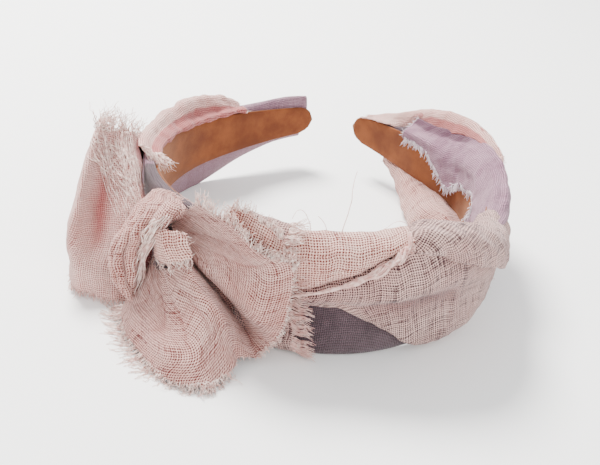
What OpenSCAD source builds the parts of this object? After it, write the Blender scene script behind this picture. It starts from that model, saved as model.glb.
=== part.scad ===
// Knotted headband: a springy one-piece band, covered in mauve linen and lined
// with suede, with strips of raw-edged pink linen wound round it and knotted
// into a bow on its left side.
//
// Frame, in millimetres: the band stands on its edge. The origin is the middle
// of the crown on the resting plane, +Y runs to the tips and +Z is up.
//
// Band coordinates: s runs along the inner face from the middle of the crown,
// below zero on the left arm, n points outward from the inner face, z is height.

/* [Band] */
// Length of the band from tip to tip, along its inner face
band_length = 380; // [330:1:460]
// Radius of the crown at the inner face
crown_radius = 61; // [50:1:74]
// Radius of the straighter arms
arm_radius = 200; // [140:5:400]
// Gap between the two tips at rest
tip_gap = 18; // [8:1:60]
// Width of the band at the crown
crown_width = 38; // [30:1:48]
// Width of the band next to its rounded tips
tip_width = 12; // [9:1:18]
// Share of the half length over which the taper eases in at the crown
taper_ease = 0.12; // [0.05:0.01:0.3]
// Thickness of the springy core
core_thickness = 2.2; // [1.2:0.1:3]

/* [Covering] */
// Thickness of the suede lining
lining_thickness = 1; // [0.6:0.1:1.5]
// Margin between the lining's edge and the core's edge
lining_margin = 0.4; // [0.2:0.1:2]
// Thickness of the mauve linen over the core
cover_thickness = 0.8; // [0.4:0.1:1.2]
// Width of the hem that the mauve linen turns in under the lining
cover_hem = 4; // [2:0.5:5]
// Glue line between the covering's layers
glue_gap = 0.1; // [0.05:0.05:0.2]

/* [Wound strips] */
// Thickness of one wound layer of pink linen
strip_thickness = 1; // [0.5:0.1:1.5]
// Air between a wound strip and what is under it
strip_gap = 0.3; // [0.25:0.05:0.6]
// Cut between neighbouring strips along the band
strip_cut = 0.4; // [0.3:0.1:1]
// How far the wound strips turn in over the lining
strip_hem = 7; // [4:1:12]

/* [Bow] */
// Place of the left tail's far edge along the band
tail_start = -98; // [-110:1:-90]
// Place of the knot's left side along the band
knot_start = -58; // [-64:1:-52]
// Place of the bow fan's left side along the band
fan_start = -42; // [-48:1:-38]
// Place of the collar strip's left side along the band
collar_start = -10; // [-14:1:-7]
// Place where the collar ends and the right side's strips begin
split = 5; // [2:1:8]
// How far the tail spreads from the band at its foot
tail_spread = 34; // [20:1:40]
// How far the fan spreads from the band at its foot
fan_spread = 42; // [25:1:48]
// Height of the tail
tail_height = 55; // [45:1:62]
// Height of the fan
fan_height = 47; // [44:1:54]
// Height of the knot
knot_height = 41; // [38:1:48]
// Outer reach of the knot from the inner face
knot_reach = 26; // [18:1:32]
// Length of the knot's short cut end
knot_end_length = 8; // [5:1:14]

/* [Hidden] */
half_length = band_length / 2;
tip_round = tip_width / 2;
ring_step = 5;

// Layers outward from the inner face
hem_in = lining_thickness + glue_gap;
hem_out = hem_in + cover_thickness;
core_in = hem_out + glue_gap;
core_out = core_in + core_thickness;
cover_in = core_out + glue_gap;
cover_out = cover_in + cover_thickness;
strip_in = cover_out + strip_gap;
strip_out = strip_in + strip_thickness;
inside_out = -strip_gap;
inside_in = inside_out - strip_thickness;

// Layers up and down from the core's edge
edge_cover = glue_gap + cover_thickness;
edge_strip = edge_cover + strip_gap;
edge_outer = edge_strip + strip_thickness;
band_mid = crown_width / 2 + edge_outer;

// Places along the right side
crease_end = 30;
corner_end = 75;
mauve_end = 132;
tip_wrap_end = half_length - tip_round - 2;
fold_start = 84;
fold_end = 166;
// Places along the left arm
left_wrap_start = -166;

// Bow: the far edge of the tail is narrower and lower than its middle
tail_far_foot = 14;
tail_far_drop = 9;
tail_shoulder = 27;
// Least reach of the knot, beside the tail and the fan
knot_side_reach = 16;
knot_lift = 2;
// Outer reach of the fan beside the knot's end, and the end's own inner side
fan_crest = 12;
fan_fullness = 5;
knot_end_in = fan_crest + 0.6;
knot_end_depth = 7;
knot_end_low = 19;
knot_end_high = 35;
// Loose linen of each strip, beyond its own thickness
collar_puff = 2;
upper_puff = 2;
lower_puff = 5;
fold_puff = 8;
mauve_puff = 2.5;
tip_puff = 3;
left_puff = 5;
hanging_reach = 11;
hanging_thickness = 2.4;

function radians(a) = a * PI / 180;
function degrees(a) = a * 180 / PI;
function mix(a, b, t) = a + (b - a) * t;
function ease(t) = let (c = min(1, max(0, t))) c * c * (3 - 2 * c);
// Smooth hump that is 0 at a and b and 1 at the peak p
function hump(s, a, p, b) = s < p ? ease((s - a) / (p - a)) : ease((b - s) / (b - p));

// The crown's sweep is the one that leaves the tip gap open
function tip_x(sweep) =
    let (arm_turn = degrees((half_length - crown_radius * radians(sweep)) / arm_radius))
    crown_radius * sin(sweep) + arm_radius * (sin(sweep + arm_turn) - sin(sweep));
function find_sweep(low, high, tries = 30) =
    let (mid = (low + high) / 2)
    tries == 0 ? mid
    : tip_x(mid) > tip_gap / 2 ? find_sweep(mid, high, tries - 1)
    : find_sweep(low, mid, tries - 1);
crown_sweep = find_sweep(90, min(160, degrees(half_length / crown_radius)));
crown_arc = crown_radius * radians(crown_sweep);

// Direction of the band at s, as the angle turned from the crown
function turn(s) =
    let (a = abs(s))
    sign(s) * (degrees(min(a, crown_arc) / crown_radius)
               + degrees(max(0, a - crown_arc) / arm_radius));
function spine(s) =
    let (t = abs(turn(s)), c = min(t, crown_sweep))
    [sign(s) * (crown_radius * sin(c) + arm_radius * (sin(t) - sin(c))),
     crown_radius * (1 - cos(c)) + arm_radius * (cos(c) - cos(t))];
// Point of band coordinates s, n, z
function at(s, n, z) =
    let (p = spine(s), a = turn(s)) [p.x + n * sin(a), p.y - n * cos(a), z];

function taper(u) =
    (sqrt(u * u + taper_ease * taper_ease) - taper_ease)
    / (sqrt(1 + taper_ease * taper_ease) - taper_ease);
function flat_half(s) = mix(crown_width, tip_width, taper(abs(s) / half_length)) / 2;
// Half width of the core, with its round tips
function half_width(s) =
    let (d = half_length - abs(s), r = tip_round)
    d >= r ? flat_half(s) : sqrt(max(0.04, r * r - (r - d) * (r - d)));

function stations(a, b) =
    let (count = ceil((b - a) / ring_step)) [for (i = [0:count]) mix(a, b, i / count)];
function tip_stations() = [for (a = [0:15:75]) half_length - tip_round * (1 - cos(a))];
function whole_band() =
    let (ends = tip_stations(), last = len(ends) - 1, inner = half_length - tip_round)
    concat([for (i = [0:last]) -ends[i]], stations(-inner, inner),
           [for (i = [last:-1:0]) ends[i]]);

// Solid through band points: at each place an outer path and an inner path of
// [n, z] points, in the same number, run side by side from one edge to the other
module sweep_band(places, outers, inners) {
    k = len(outers[0]);
    m = len(places);
    wide = 2 * k;
    polyhedron(
        points = [for (i = [0:m - 1]) each
                     [for (p = concat(outers[i], [for (j = [k - 1:-1:0]) inners[i][j]]))
                         at(places[i], p[0], p[1])]],
        faces = [
            for (i = [0:m - 2]) for (j = [0:wide - 1])
                let (a = i * wide + j, b = i * wide + (j + 1) % wide)
                each [[a, a + wide, b], [b, a + wide, b + wide]],
            for (j = [0:k - 2])
                let (a = wide - 1 - j, b = a - 1, last = (m - 1) * wide)
                each [[j, j + 1, b], [j, b, a],
                      [last + j, last + b, last + j + 1], [last + j, last + a, last + b]]],
        convexity = 6);
}

// Paths of a strip that passes round both edges and turns a hem in on the inside
function both_edges_outer(face, hem, edge, hem_end) =
    let (m = band_mid)
    [[hem, m - hem_end], [hem, m - edge], [face, m - edge],
     [face, m + edge], [hem, m + edge], [hem, m + hem_end]];

// Outer path of a strip that hangs over the top edge, from low_out to low_in
function over_top_outer(bulge, low_out, low_in, top) =
    [[strip_out, low_out], [strip_out + bulge, mix(low_out, top, 0.4)],
     [strip_out + bulge, mix(low_out, top, 0.8)], [strip_out + bulge / 2, top],
     [inside_in, top], [inside_in, low_in]];
function over_top_inner(low_out, low_in, top) =
    [[strip_in, low_out], [strip_in, mix(low_out, top, 0.4)],
     [strip_in, mix(low_out, top, 0.8)], [strip_in, top],
     [inside_out, top], [inside_out, low_in]];

module band_core() {
    places = whole_band();
    color([0.93, 0.92, 0.9])
        sweep_band(places,
            [for (s = places) [for (e = [-1, 1]) [core_out, band_mid + e * half_width(s)]]],
            [for (s = places) [for (e = [-1, 1]) [core_in, band_mid + e * half_width(s)]]]);
}

module suede_lining() {
    places = whole_band();
    function half(s) = max(0.15, half_width(s) - lining_margin);
    color([0.72, 0.42, 0.23])
        sweep_band(places,
            [for (s = places) [for (e = [-1, 1]) [lining_thickness, band_mid + e * half(s)]]],
            [for (s = places) [for (e = [-1, 1]) [0, band_mid + e * half(s)]]]);
}

module mauve_base_cover() {
    end = half_length - tip_round;
    places = stations(-end, end);
    color([0.52, 0.43, 0.48])
        sweep_band(places,
            [for (s = places)
                both_edges_outer(cover_out, hem_in, half_width(s) + edge_cover,
                                 half_width(s) - cover_hem)],
            [for (s = places)
                both_edges_outer(cover_in, hem_out, half_width(s) + glue_gap,
                                 half_width(s) - cover_hem)]);
}

module left_arm_wrap() {
    end = tail_start - strip_cut;
    places = stations(left_wrap_start, end);
    function edge(s) = band_mid + half_width(s) + edge_strip;
    function puff(s) = hump(s, left_wrap_start - 12, -125, end + 30);
    function low(s) = band_mid - 0.4 * half_width(s);
    color([0.88, 0.75, 0.74])
        sweep_band(places,
            [for (s = places)
                over_top_outer(left_puff * puff(s), low(s), edge(s) - 2,
                               edge(s) + strip_thickness + 0.8 * left_puff * puff(s))],
            [for (s = places) over_top_inner(low(s), edge(s) - 2, edge(s))]);
}

// Tail of the bow that stands out to the left, over the band and down to its foot
module left_tail() {
    end = knot_start - strip_cut;
    places = stations(tail_start, end);
    function share(s) = (s - tail_start) / (end - tail_start);
    function foot(s) = mix(tail_far_foot, tail_spread, ease(share(s)));
    function shoulder(s) = mix(tail_far_foot, tail_shoulder, hump(share(s), -0.3, 0.65, 1.4));
    function top(s) = tail_height - tail_far_drop * (1 - hump(share(s), -0.4, 0.6, 1.5));
    color([0.87, 0.73, 0.72])
        sweep_band(places,
            [for (s = places)
                [[foot(s) - 2, 0], [foot(s), 4],
                 [mix(foot(s), shoulder(s), 0.4) + 2, top(s) * 0.35],
                 [shoulder(s) + 1, top(s) * 0.75], [shoulder(s) - 3, top(s)]]],
            [for (s = places)
                [[strip_in, 0], [strip_in, 4], [strip_in, top(s) * 0.35],
                 [strip_in, top(s) * 0.75], [shoulder(s) - 7, top(s)]]]);
}

// Rolled loop that the tails pass through
module knot() {
    end = fan_start - strip_cut;
    places = stations(knot_start, end);
    function bulge(s) = hump(s, knot_start - 14, (knot_start + end) / 2, end + 14);
    function reach(s) = mix(knot_side_reach, knot_reach, bulge(s));
    function top(s) = mix(knot_height - 4, knot_height, bulge(s));
    color([0.9, 0.78, 0.77])
        sweep_band(places,
            [for (s = places)
                [[reach(s) - 6, knot_lift], [reach(s) - 1, top(s) * 0.2],
                 [reach(s), top(s) * 0.45], [reach(s) - 2, top(s) * 0.75],
                 [reach(s) - 8, top(s)]]],
            [for (s = places)
                [[strip_in, knot_lift], [strip_in, top(s) * 0.2], [strip_in, top(s) * 0.45],
                 [strip_in, top(s) * 0.75], [strip_in + 2, top(s)]]]);
}

// Short cut end of the knot, in front of the fan's top left corner
module knot_end() {
    start = fan_start + strip_cut;
    places = stations(start, start + knot_end_length);
    function share(s) = (s - start) / knot_end_length;
    color([0.91, 0.8, 0.79])
        sweep_band(places,
            [for (s = places)
                [[knot_end_in + knot_end_depth - 2 * share(s), knot_end_low - 1 + share(s)],
                 [knot_end_in + knot_end_depth - 2 * share(s), knot_end_high - 3 * share(s)]]],
            [for (s = places)
                [[knot_end_in, knot_end_low], [knot_end_in, knot_end_high - 2 * share(s)]]]);
}

module bow_fan() {
    end = collar_start - strip_cut;
    places = stations(fan_start, end);
    // 0 beside the knot's end, where the fan stays close to the band, and 1 past it
    function free(s) = ease((s - fan_start - knot_end_length - 1) / 8);
    function foot(s) = mix(18, fan_spread, hump(s, fan_start - 14, fan_start + 20, end + 3));
    function crest(s) = fan_crest + fan_fullness * free(s) * hump(s, fan_start, -25, end + 4);
    function top(s) = mix(knot_height - 3, fan_height, ease((s - fan_start) / 14));
    function slope(s, t, close) = mix(close, mix(foot(s), crest(s), t), free(s));
    function low(s) = mix(knot_end_low / 2, 15, free(s));
    function middle(s) = mix(knot_end_low - 2.5, 30, free(s));
    color([0.86, 0.72, 0.71])
        sweep_band(places,
            [for (s = places)
                [[foot(s) - 5, 0], [foot(s), 5], [slope(s, 0.3, 17), low(s)],
                 [slope(s, 0.7, fan_crest), middle(s)], [crest(s), top(s) - 3],
                 [crest(s) - 4, top(s)]]],
            [for (s = places)
                [[strip_in, 0], [strip_in, 5], [strip_in, low(s)], [strip_in, middle(s)],
                 [strip_in, top(s) - 3], [strip_in + 1, top(s)]]]);
}

// Strip wound right round the crown, with the flat face that the band stands on
module collar_strip() {
    places = stations(collar_start, split - strip_cut);
    edge = crown_width / 2 + edge_strip;
    color([0.88, 0.74, 0.73])
        sweep_band(places,
            [for (s = places)
                both_edges_outer(strip_out + collar_puff, inside_in, edge + strip_thickness,
                                 half_width(s) - strip_hem)],
            [for (s = places)
                both_edges_outer(strip_in, inside_out, edge, half_width(s) - strip_hem)]);
}

// Height of the crease where the upper front strip meets the lower one
function crease(s) = mix(band_mid + 3, band_mid + half_width(s),
                         (s - split) / (crease_end - split));

module upper_front_strip() {
    places = stations(split, crease_end);
    function edge(s) = band_mid + half_width(s) + edge_strip;
    function low(s) = min(crease(s) + strip_gap, edge(s) - 1);
    function hem(s) = band_mid + half_width(s) - strip_hem;
    color([0.89, 0.76, 0.75])
        sweep_band(places,
            [for (s = places) over_top_outer(upper_puff, low(s), hem(s),
                                             edge(s) + strip_thickness)],
            [for (s = places) over_top_inner(low(s), hem(s), edge(s))]);
}

// Lower edge of the lower front strip, which leaves the mauve cover showing
function lower_edge(s) = mix(band_mid - 2, 0, ease((s - split - 2) / 30));

module lower_front_strip() {
    end = corner_end - strip_cut;
    places = stations(split, end);
    function high(s) = s < crease_end ? crease(s) : band_mid + half_width(s);
    function level(s, t) = mix(lower_edge(s), high(s), t);
    function bulge(s) = mix(0.5, lower_puff, hump(s, split - 4, 58, end + 30));
    color([0.87, 0.74, 0.73])
        sweep_band(places,
            [for (s = places)
                [[strip_out + bulge(s) * 0.3, level(s, 0)], [strip_out + bulge(s), level(s, 0.3)],
                 [strip_out + bulge(s), level(s, 0.75)], [strip_out + bulge(s) * 0.5, level(s, 1)]]],
            [for (s = places) [for (t = [0, 0.3, 0.75, 1]) [strip_in, level(s, t)]]]);
}

// Fold that turns over the top edge at the right of the crown
module corner_fold() {
    start = crease_end + strip_cut;
    end = corner_end - strip_cut;
    places = stations(start, end);
    function base(s) = band_mid + half_width(s) + edge_strip;
    function fat(s) = hump(s, start - 25, end - 16, end + 14);
    function hem(s) = band_mid + half_width(s) - strip_hem;
    color([0.9, 0.78, 0.77])
        sweep_band(places,
            [for (s = places)
                let (reach = strip_out + 2 + fold_puff * fat(s), top = base(s) + 2 + 2 * fat(s))
                [[reach, base(s)], [reach + 1, base(s) + 1], [reach - 2, top],
                 [inside_in, top - 0.8], [inside_in, hem(s)]]],
            [for (s = places)
                [[strip_in + 3, base(s)], [strip_in + 2, base(s)], [strip_in, base(s)],
                 [inside_out, base(s)], [inside_out, hem(s)]]]);
}

module right_arm_mauve_strip() {
    places = stations(corner_end, mauve_end);
    low = band_mid + strip_gap;
    function edge(s) = band_mid + half_width(s) + edge_strip;
    function puff(s) = hump(s, corner_end - 40, 108, mauve_end + 60);
    color([0.69, 0.59, 0.67])
        sweep_band(places,
            [for (s = places)
                over_top_outer(mauve_puff * puff(s), low, low,
                               edge(s) + strip_thickness + (mauve_puff + 1) * puff(s))],
            [for (s = places) over_top_inner(low, low, edge(s))]);
}

module right_tip_strip() {
    start = mauve_end + strip_cut;
    places = stations(start, tip_wrap_end);
    low = band_mid + strip_gap;
    function edge(s) = band_mid + half_width(s) + edge_strip;
    function puff(s) = hump(s, start - 30, start + 10, tip_wrap_end + 8);
    color([0.9, 0.79, 0.78])
        sweep_band(places,
            [for (s = places)
                over_top_outer(tip_puff * puff(s), low, edge(s) - 2,
                               edge(s) + strip_thickness + tip_puff * puff(s))],
            [for (s = places) over_top_inner(low, edge(s) - 2, edge(s))]);
}

// Loose linen that hangs under the right arm and lies on the table, turned inward
module right_hanging_fold() {
    places = stations(fold_start, fold_end);
    function sag(s) = hump(s, fold_start - 2, 140, fold_end + 2);
    function foot(s) = mix(band_mid - half_width(s) - 5, 0, ease(1.6 * sag(s)));
    function lip(s) = mix(strip_in - 1, -hanging_reach, sag(s));
    color([0.88, 0.76, 0.75])
        sweep_band(places,
            [for (s = places)
                [[lip(s), foot(s)], [strip_out + 1, foot(s)],
                 [strip_out + 3, mix(foot(s), band_mid, 0.4)], [strip_out + 1, band_mid]]],
            [for (s = places)
                let (inner_foot = foot(s) + hanging_thickness)
                [[lip(s), inner_foot], [strip_in, inner_foot],
                 [strip_in, mix(inner_foot, band_mid, 0.4)], [strip_in, band_mid]]]);
}

band_core();
suede_lining();
mauve_base_cover();
left_arm_wrap();
left_tail();
knot();
knot_end();
bow_fan();
collar_strip();
upper_front_strip();
lower_front_strip();
corner_fold();
right_arm_mauve_strip();
right_tip_strip();
right_hanging_fold();
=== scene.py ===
"""Knotted headband: a springy band in mauve linen, lined with suede and dressed with torn pink linen."""

import math

import bpy
import numpy as np
from mathutils import Matrix, Vector


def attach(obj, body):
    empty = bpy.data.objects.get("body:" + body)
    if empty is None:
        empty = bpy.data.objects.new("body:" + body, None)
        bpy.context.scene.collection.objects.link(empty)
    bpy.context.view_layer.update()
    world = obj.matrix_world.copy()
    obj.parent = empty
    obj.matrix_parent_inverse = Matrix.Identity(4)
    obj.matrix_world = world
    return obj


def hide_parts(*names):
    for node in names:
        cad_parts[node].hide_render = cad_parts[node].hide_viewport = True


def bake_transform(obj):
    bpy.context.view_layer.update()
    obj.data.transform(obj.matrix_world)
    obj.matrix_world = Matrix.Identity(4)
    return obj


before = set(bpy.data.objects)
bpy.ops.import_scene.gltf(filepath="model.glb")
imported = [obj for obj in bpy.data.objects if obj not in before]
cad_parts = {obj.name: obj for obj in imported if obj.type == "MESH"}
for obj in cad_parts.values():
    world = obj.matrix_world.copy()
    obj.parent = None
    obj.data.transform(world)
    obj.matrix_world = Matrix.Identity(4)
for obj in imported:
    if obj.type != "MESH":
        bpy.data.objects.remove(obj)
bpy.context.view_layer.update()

MM = 0.001

# ------------------------------------------------ the band that every piece follows, in millimetres

HALF_LENGTH = 190.0
CROWN_RADIUS = 61.0
ARM_RADIUS = 200.0
TIP_GAP = 18.0
CROWN_WIDTH = 38.0
TIP_WIDTH = 12.0
TAPER_EASE = 0.12
BAND_MIDDLE = 21.2
TIP_ROUND = 6.0
LEFT = "left_side"
RIGHT = "right_side"
CROWN_END = 75.0


def tip_place(sweep):
    """How far to the side the tip lies when the crown turns through sweep before the arms straighten."""
    whole = sweep + (HALF_LENGTH - CROWN_RADIUS * sweep) / ARM_RADIUS
    return CROWN_RADIUS * math.sin(sweep) + ARM_RADIUS * (math.sin(whole) - math.sin(sweep))


def crown_sweep():
    """The turn at which the tight crown curve gives way to the flatter arm curve, found by halving."""
    low = math.radians(90)
    high = math.radians(170)
    for _ in range(40):
        middle = (low + high) / 2
        if tip_place(middle) > TIP_GAP / 2:
            low = middle
        else:
            high = middle
    return low


SWEEP = crown_sweep()
CROWN_ARC = CROWN_RADIUS * SWEEP


def half_width(s):
    """Half the height of the band at s along it, without the rounding of its tips."""
    share = np.abs(s) / HALF_LENGTH
    ease = TAPER_EASE
    eased = (np.sqrt(share**2 + ease**2) - ease) / (math.sqrt(1 + ease**2) - ease)
    return (CROWN_WIDTH + (TIP_WIDTH - CROWN_WIDTH) * eased) / 2


def rounded_half_width(s):
    """The same with each tip rounded off."""
    left = HALF_LENGTH - np.abs(s)
    round_part = np.sqrt(np.maximum(0.04, TIP_ROUND**2 - np.maximum(0, TIP_ROUND - left) ** 2))
    return np.where(left >= TIP_ROUND, half_width(s), np.minimum(half_width(s), round_part))


def placed(places):
    """Band places (s along, n outward, z up), in millimetres, as points in metres."""
    places = np.asarray(places, float)
    s = places[..., 0]
    n = places[..., 1]
    length = np.abs(s)
    side = np.where(s < 0, -1.0, 1.0)
    turn = np.minimum(length, CROWN_ARC) / CROWN_RADIUS + np.maximum(0, length - CROWN_ARC) / ARM_RADIUS
    tight = np.minimum(turn, SWEEP)
    x = CROWN_RADIUS * np.sin(tight) + ARM_RADIUS * (np.sin(turn) - np.sin(tight))
    y = CROWN_RADIUS * (1 - np.cos(tight)) + ARM_RADIUS * (np.cos(tight) - np.cos(turn))
    x = side * (x + n * np.sin(turn))
    y = y - n * np.cos(turn)
    return np.stack([x, y, places[..., 2]], axis=-1) * MM


# ------------------------------------------------ cloth builders


def spline(points, count):
    """A smooth line of count places through the given ones, along the first axis."""
    points = np.asarray(points, float)
    ends = np.concatenate([[2 * points[0] - points[1]], points, [2 * points[-1] - points[-2]]])
    t = np.linspace(0, len(points) - 1, count)
    i = np.minimum(t.astype(int), len(points) - 2)
    f = (t - i).reshape((-1,) + (1,) * (points.ndim - 1))
    a, b, c, d = ends[i], ends[i + 1], ends[i + 2], ends[i + 3]
    return b + 0.5 * f * (c - a + f * (2 * a - 5 * b + 4 * c - d + f * (3 * (b - c) + d - a)))


def draped(rows, across, along):
    """A smooth sheet of across x along places through a given grid of band places."""
    first = spline(rows, across)
    return np.swapaxes(spline(np.swapaxes(first, 0, 1), along), 0, 1)


def by_columns(sections):
    """Sections across a strip, each at its own s and made of (n, z) places, as rows of band places."""
    return list(zip(*[[(s, n, z) for n, z in section] for s, section in sections]))


def eased(value, start, end):
    """0 before start, 1 after end, and smooth between."""
    share = np.clip((value - start) / (end - start), 0, 1)
    return share * share * (3 - 2 * share)


def bump_between(value, start, peak, end):
    """A soft hump: 0 at start and end, 1 at peak."""
    return eased(value, start, peak) * (1 - eased(value, peak, end))


def unit(vectors):
    """Directions of length one."""
    return vectors / np.maximum(np.linalg.norm(vectors, axis=-1, keepdims=True), 1e-12)


def line_length(points, axis):
    """The length of each line of a grid, measured along one axis."""
    return np.linalg.norm(np.diff(points, axis=axis), axis=-1).sum(axis=axis)


# places on a line end this far short of its number of points, so that a next point is always there
SHORT_OF_END = 1.001


def between(line, place):
    """Points on a line at places counted in whole and part steps."""
    lower = place.astype(int)
    share = (place - lower)[:, None]
    return line[lower] * (1 - share) + line[lower + 1] * share


def surface_normals(points):
    """The facing of a grid of points at each of them."""
    return unit(np.cross(np.gradient(points, axis=0), np.gradient(points, axis=1)))


def cloth_lengths(points):
    """How far each point of a grid lies along and across the cloth, in metres, counted from its middle."""
    along = np.linalg.norm(np.diff(points, axis=1), axis=-1)
    across = np.linalg.norm(np.diff(points, axis=0), axis=-1)
    u = np.concatenate([np.zeros((len(points), 1)), np.cumsum(along, axis=1)], axis=1)
    v = np.concatenate([np.zeros((1, points.shape[1])), np.cumsum(across, axis=0)], axis=0)
    u = u - u[:, u.shape[1] // 2][:, None]
    v = v - v[v.shape[0] // 2][None, :]
    return u, v


CREASE_COUNT = 9


def crumple(u, v, seed, size):
    """Random creases with crisp ridges, about -1 to 1, whose usual size is given in metres."""
    rng = np.random.default_rng(seed)
    total = np.zeros_like(u)
    for _ in range(CREASE_COUNT):
        heading = rng.uniform(0, math.tau)
        scale = size * rng.uniform(0.7, 1.8)
        phase = rng.uniform(0, math.tau)
        drift = rng.uniform(0, math.tau)
        run = (u * math.cos(heading) + v * math.sin(heading)) / scale * math.pi
        side = (v * math.cos(heading) - u * math.sin(heading)) / scale * math.pi
        bent = run + 0.7 * np.sin(side * 0.9 + drift)
        total += 0.64 - np.abs(np.sin(bent + phase))
    return total / math.sqrt(CREASE_COUNT) * 2.2


def mesh_piece(name, points, faces, material):
    """A smooth-shaded mesh piece from points in metres."""
    mesh = bpy.data.meshes.new(name)
    mesh.from_pydata([tuple(p) for p in points], [], faces)
    mesh.polygons.foreach_set("use_smooth", [True] * len(mesh.polygons))
    mesh.materials.append(material)
    mesh.update()
    piece = bpy.data.objects.new(name, mesh)
    bpy.context.scene.collection.objects.link(piece)
    return piece


def closed_sheet(name, points, material, thickness, fold, weave_turn):
    """A sheet with a front, a back and a rim, from a grid of points, mapped by the cloth's own lengths."""
    rows, columns = points.shape[:2]
    away = surface_normals(points) * (thickness / 2)
    front = (points + away).reshape(-1, 3)
    back = (points - away).reshape(-1, 3)
    total = rows * columns
    index = np.arange(total).reshape(rows, columns)
    a, b, c, d = index[:-1, :-1], index[:-1, 1:], index[1:, 1:], index[1:, :-1]
    front_faces = np.stack([a, b, c, d], -1).reshape(-1, 4)
    back_faces = np.stack([d, c, b, a], -1).reshape(-1, 4) + total
    rim = np.concatenate([index[0], index[1:, -1], index[-1, -2::-1], index[-2:0:-1, 0]])
    after = np.roll(rim, -1)
    rim_faces = np.stack([after, rim, rim + total, after + total], -1)
    faces = np.concatenate([front_faces, back_faces, rim_faces])[:, ::-1]
    piece = mesh_piece(name, np.concatenate([front, back]), faces.tolist(), material)
    u, v = cloth_lengths(points)
    turn = math.radians(weave_turn)
    turned_u = u * math.cos(turn) - v * math.sin(turn)
    turned_v = u * math.sin(turn) + v * math.cos(turn)
    weave = np.stack([turned_u, turned_v], -1).reshape(-1, 2)
    weave = np.concatenate([weave, weave])
    corners = np.empty(len(piece.data.loops), dtype=np.int32)
    piece.data.loops.foreach_get("vertex_index", corners)
    layer = piece.data.uv_layers.new(name="Weave")
    layer.data.foreach_set("uv", weave[corners].astype(np.float32).ravel())
    # the Fold attribute carries the painted fold shade that darkens the linen's colour in its folds
    attribute = piece.data.attributes.new("Fold", "FLOAT", "POINT")
    attribute.data.foreach_set("value", np.tile(fold.ravel(), 2).astype(np.float32))
    return piece


def blur(values, passes):
    """Evens out a grid of values."""
    for _ in range(passes):
        padded = np.pad(values, 1, mode="edge")
        beside = padded[:-2, 1:-1] + padded[2:, 1:-1] + padded[1:-1, :-2] + padded[1:-1, 2:]
        values = (beside + 2 * padded[1:-1, 1:-1]) / 6
    return values


DEEP_FOLD = 0.003


def painted_fold_shade(points, facing_out):
    """How deep in a fold each point lies, 0 on a ridge to 1 in a hollow, by how far back it sits; the linen
    paints this as shade, darker and rosier in the folds.
    """
    smooth = np.stack([blur(points[..., i], 60) for i in range(3)], -1)
    behind = np.sum((smooth - points) * surface_normals(points), axis=-1) * facing_out
    return np.clip(0.5 + behind / DEEP_FOLD, 0, 1)


def outward_sign(places, points):
    """1 where the grid's normals point away from the band at its outermost place, or -1."""
    row, column = np.unravel_index(np.argmax(places[..., 1]), places.shape[:2])
    place = places[row, column]
    outward = placed(place + np.array([0.0, 1.0, 0.0])) - placed(place)
    return 1.0 if surface_normals(points)[row, column] @ outward > 0 else -1.0


def resampled(points, places):
    """Grid rows read again at new column places, given as shares of each row."""
    at = places * (points.shape[1] - SHORT_OF_END)
    index = at.astype(int)
    share = (at - index)[..., None]
    row = np.arange(len(points))[:, None]
    return points[row, index] * (1 - share) + points[row, index + 1] * share


# each wave of a torn outline: its length in metres and its share of the reach
TEAR_WAVES = ((0.021, 0.4), (0.009, 0.35), (0.004, 0.25))
MOST_TRIM = 0.2
TEAR_SEED = 500


def torn_outline(points, reach, seed):
    """The same sheet with its four edges wandering in and out by up to reach, as torn cloth does."""
    rng = np.random.default_rng(seed + TEAR_SEED)
    for _ in range(2):
        along = line_length(points, 1)
        steps = np.linalg.norm(np.diff(points[:, 0], axis=0), axis=-1)
        down = np.concatenate([[0], np.cumsum(steps)])
        trims = []
        for _ in range(2):
            wander = np.full(len(points), 1.0)
            for period, weight in TEAR_WAVES:
                wander = wander + weight * np.sin(down / period * math.tau + rng.uniform(0, math.tau))
            trims.append(np.minimum(reach * wander / along, MOST_TRIM))
        share = np.linspace(0, 1, points.shape[1])[None, :]
        places = trims[0][:, None] * (1 - share) + (1 - trims[1][:, None]) * share
        points = np.swapaxes(resampled(points, places), 0, 1)
    return points


PLEAT_SHARPNESS = 0.7
PLEAT_MIDDLE = 0.62
PLEAT_SHADE = 0.8
LOWEST_CLOTH = 0.35 * MM
LOWEST_THREAD = 0.2 * MM


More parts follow.
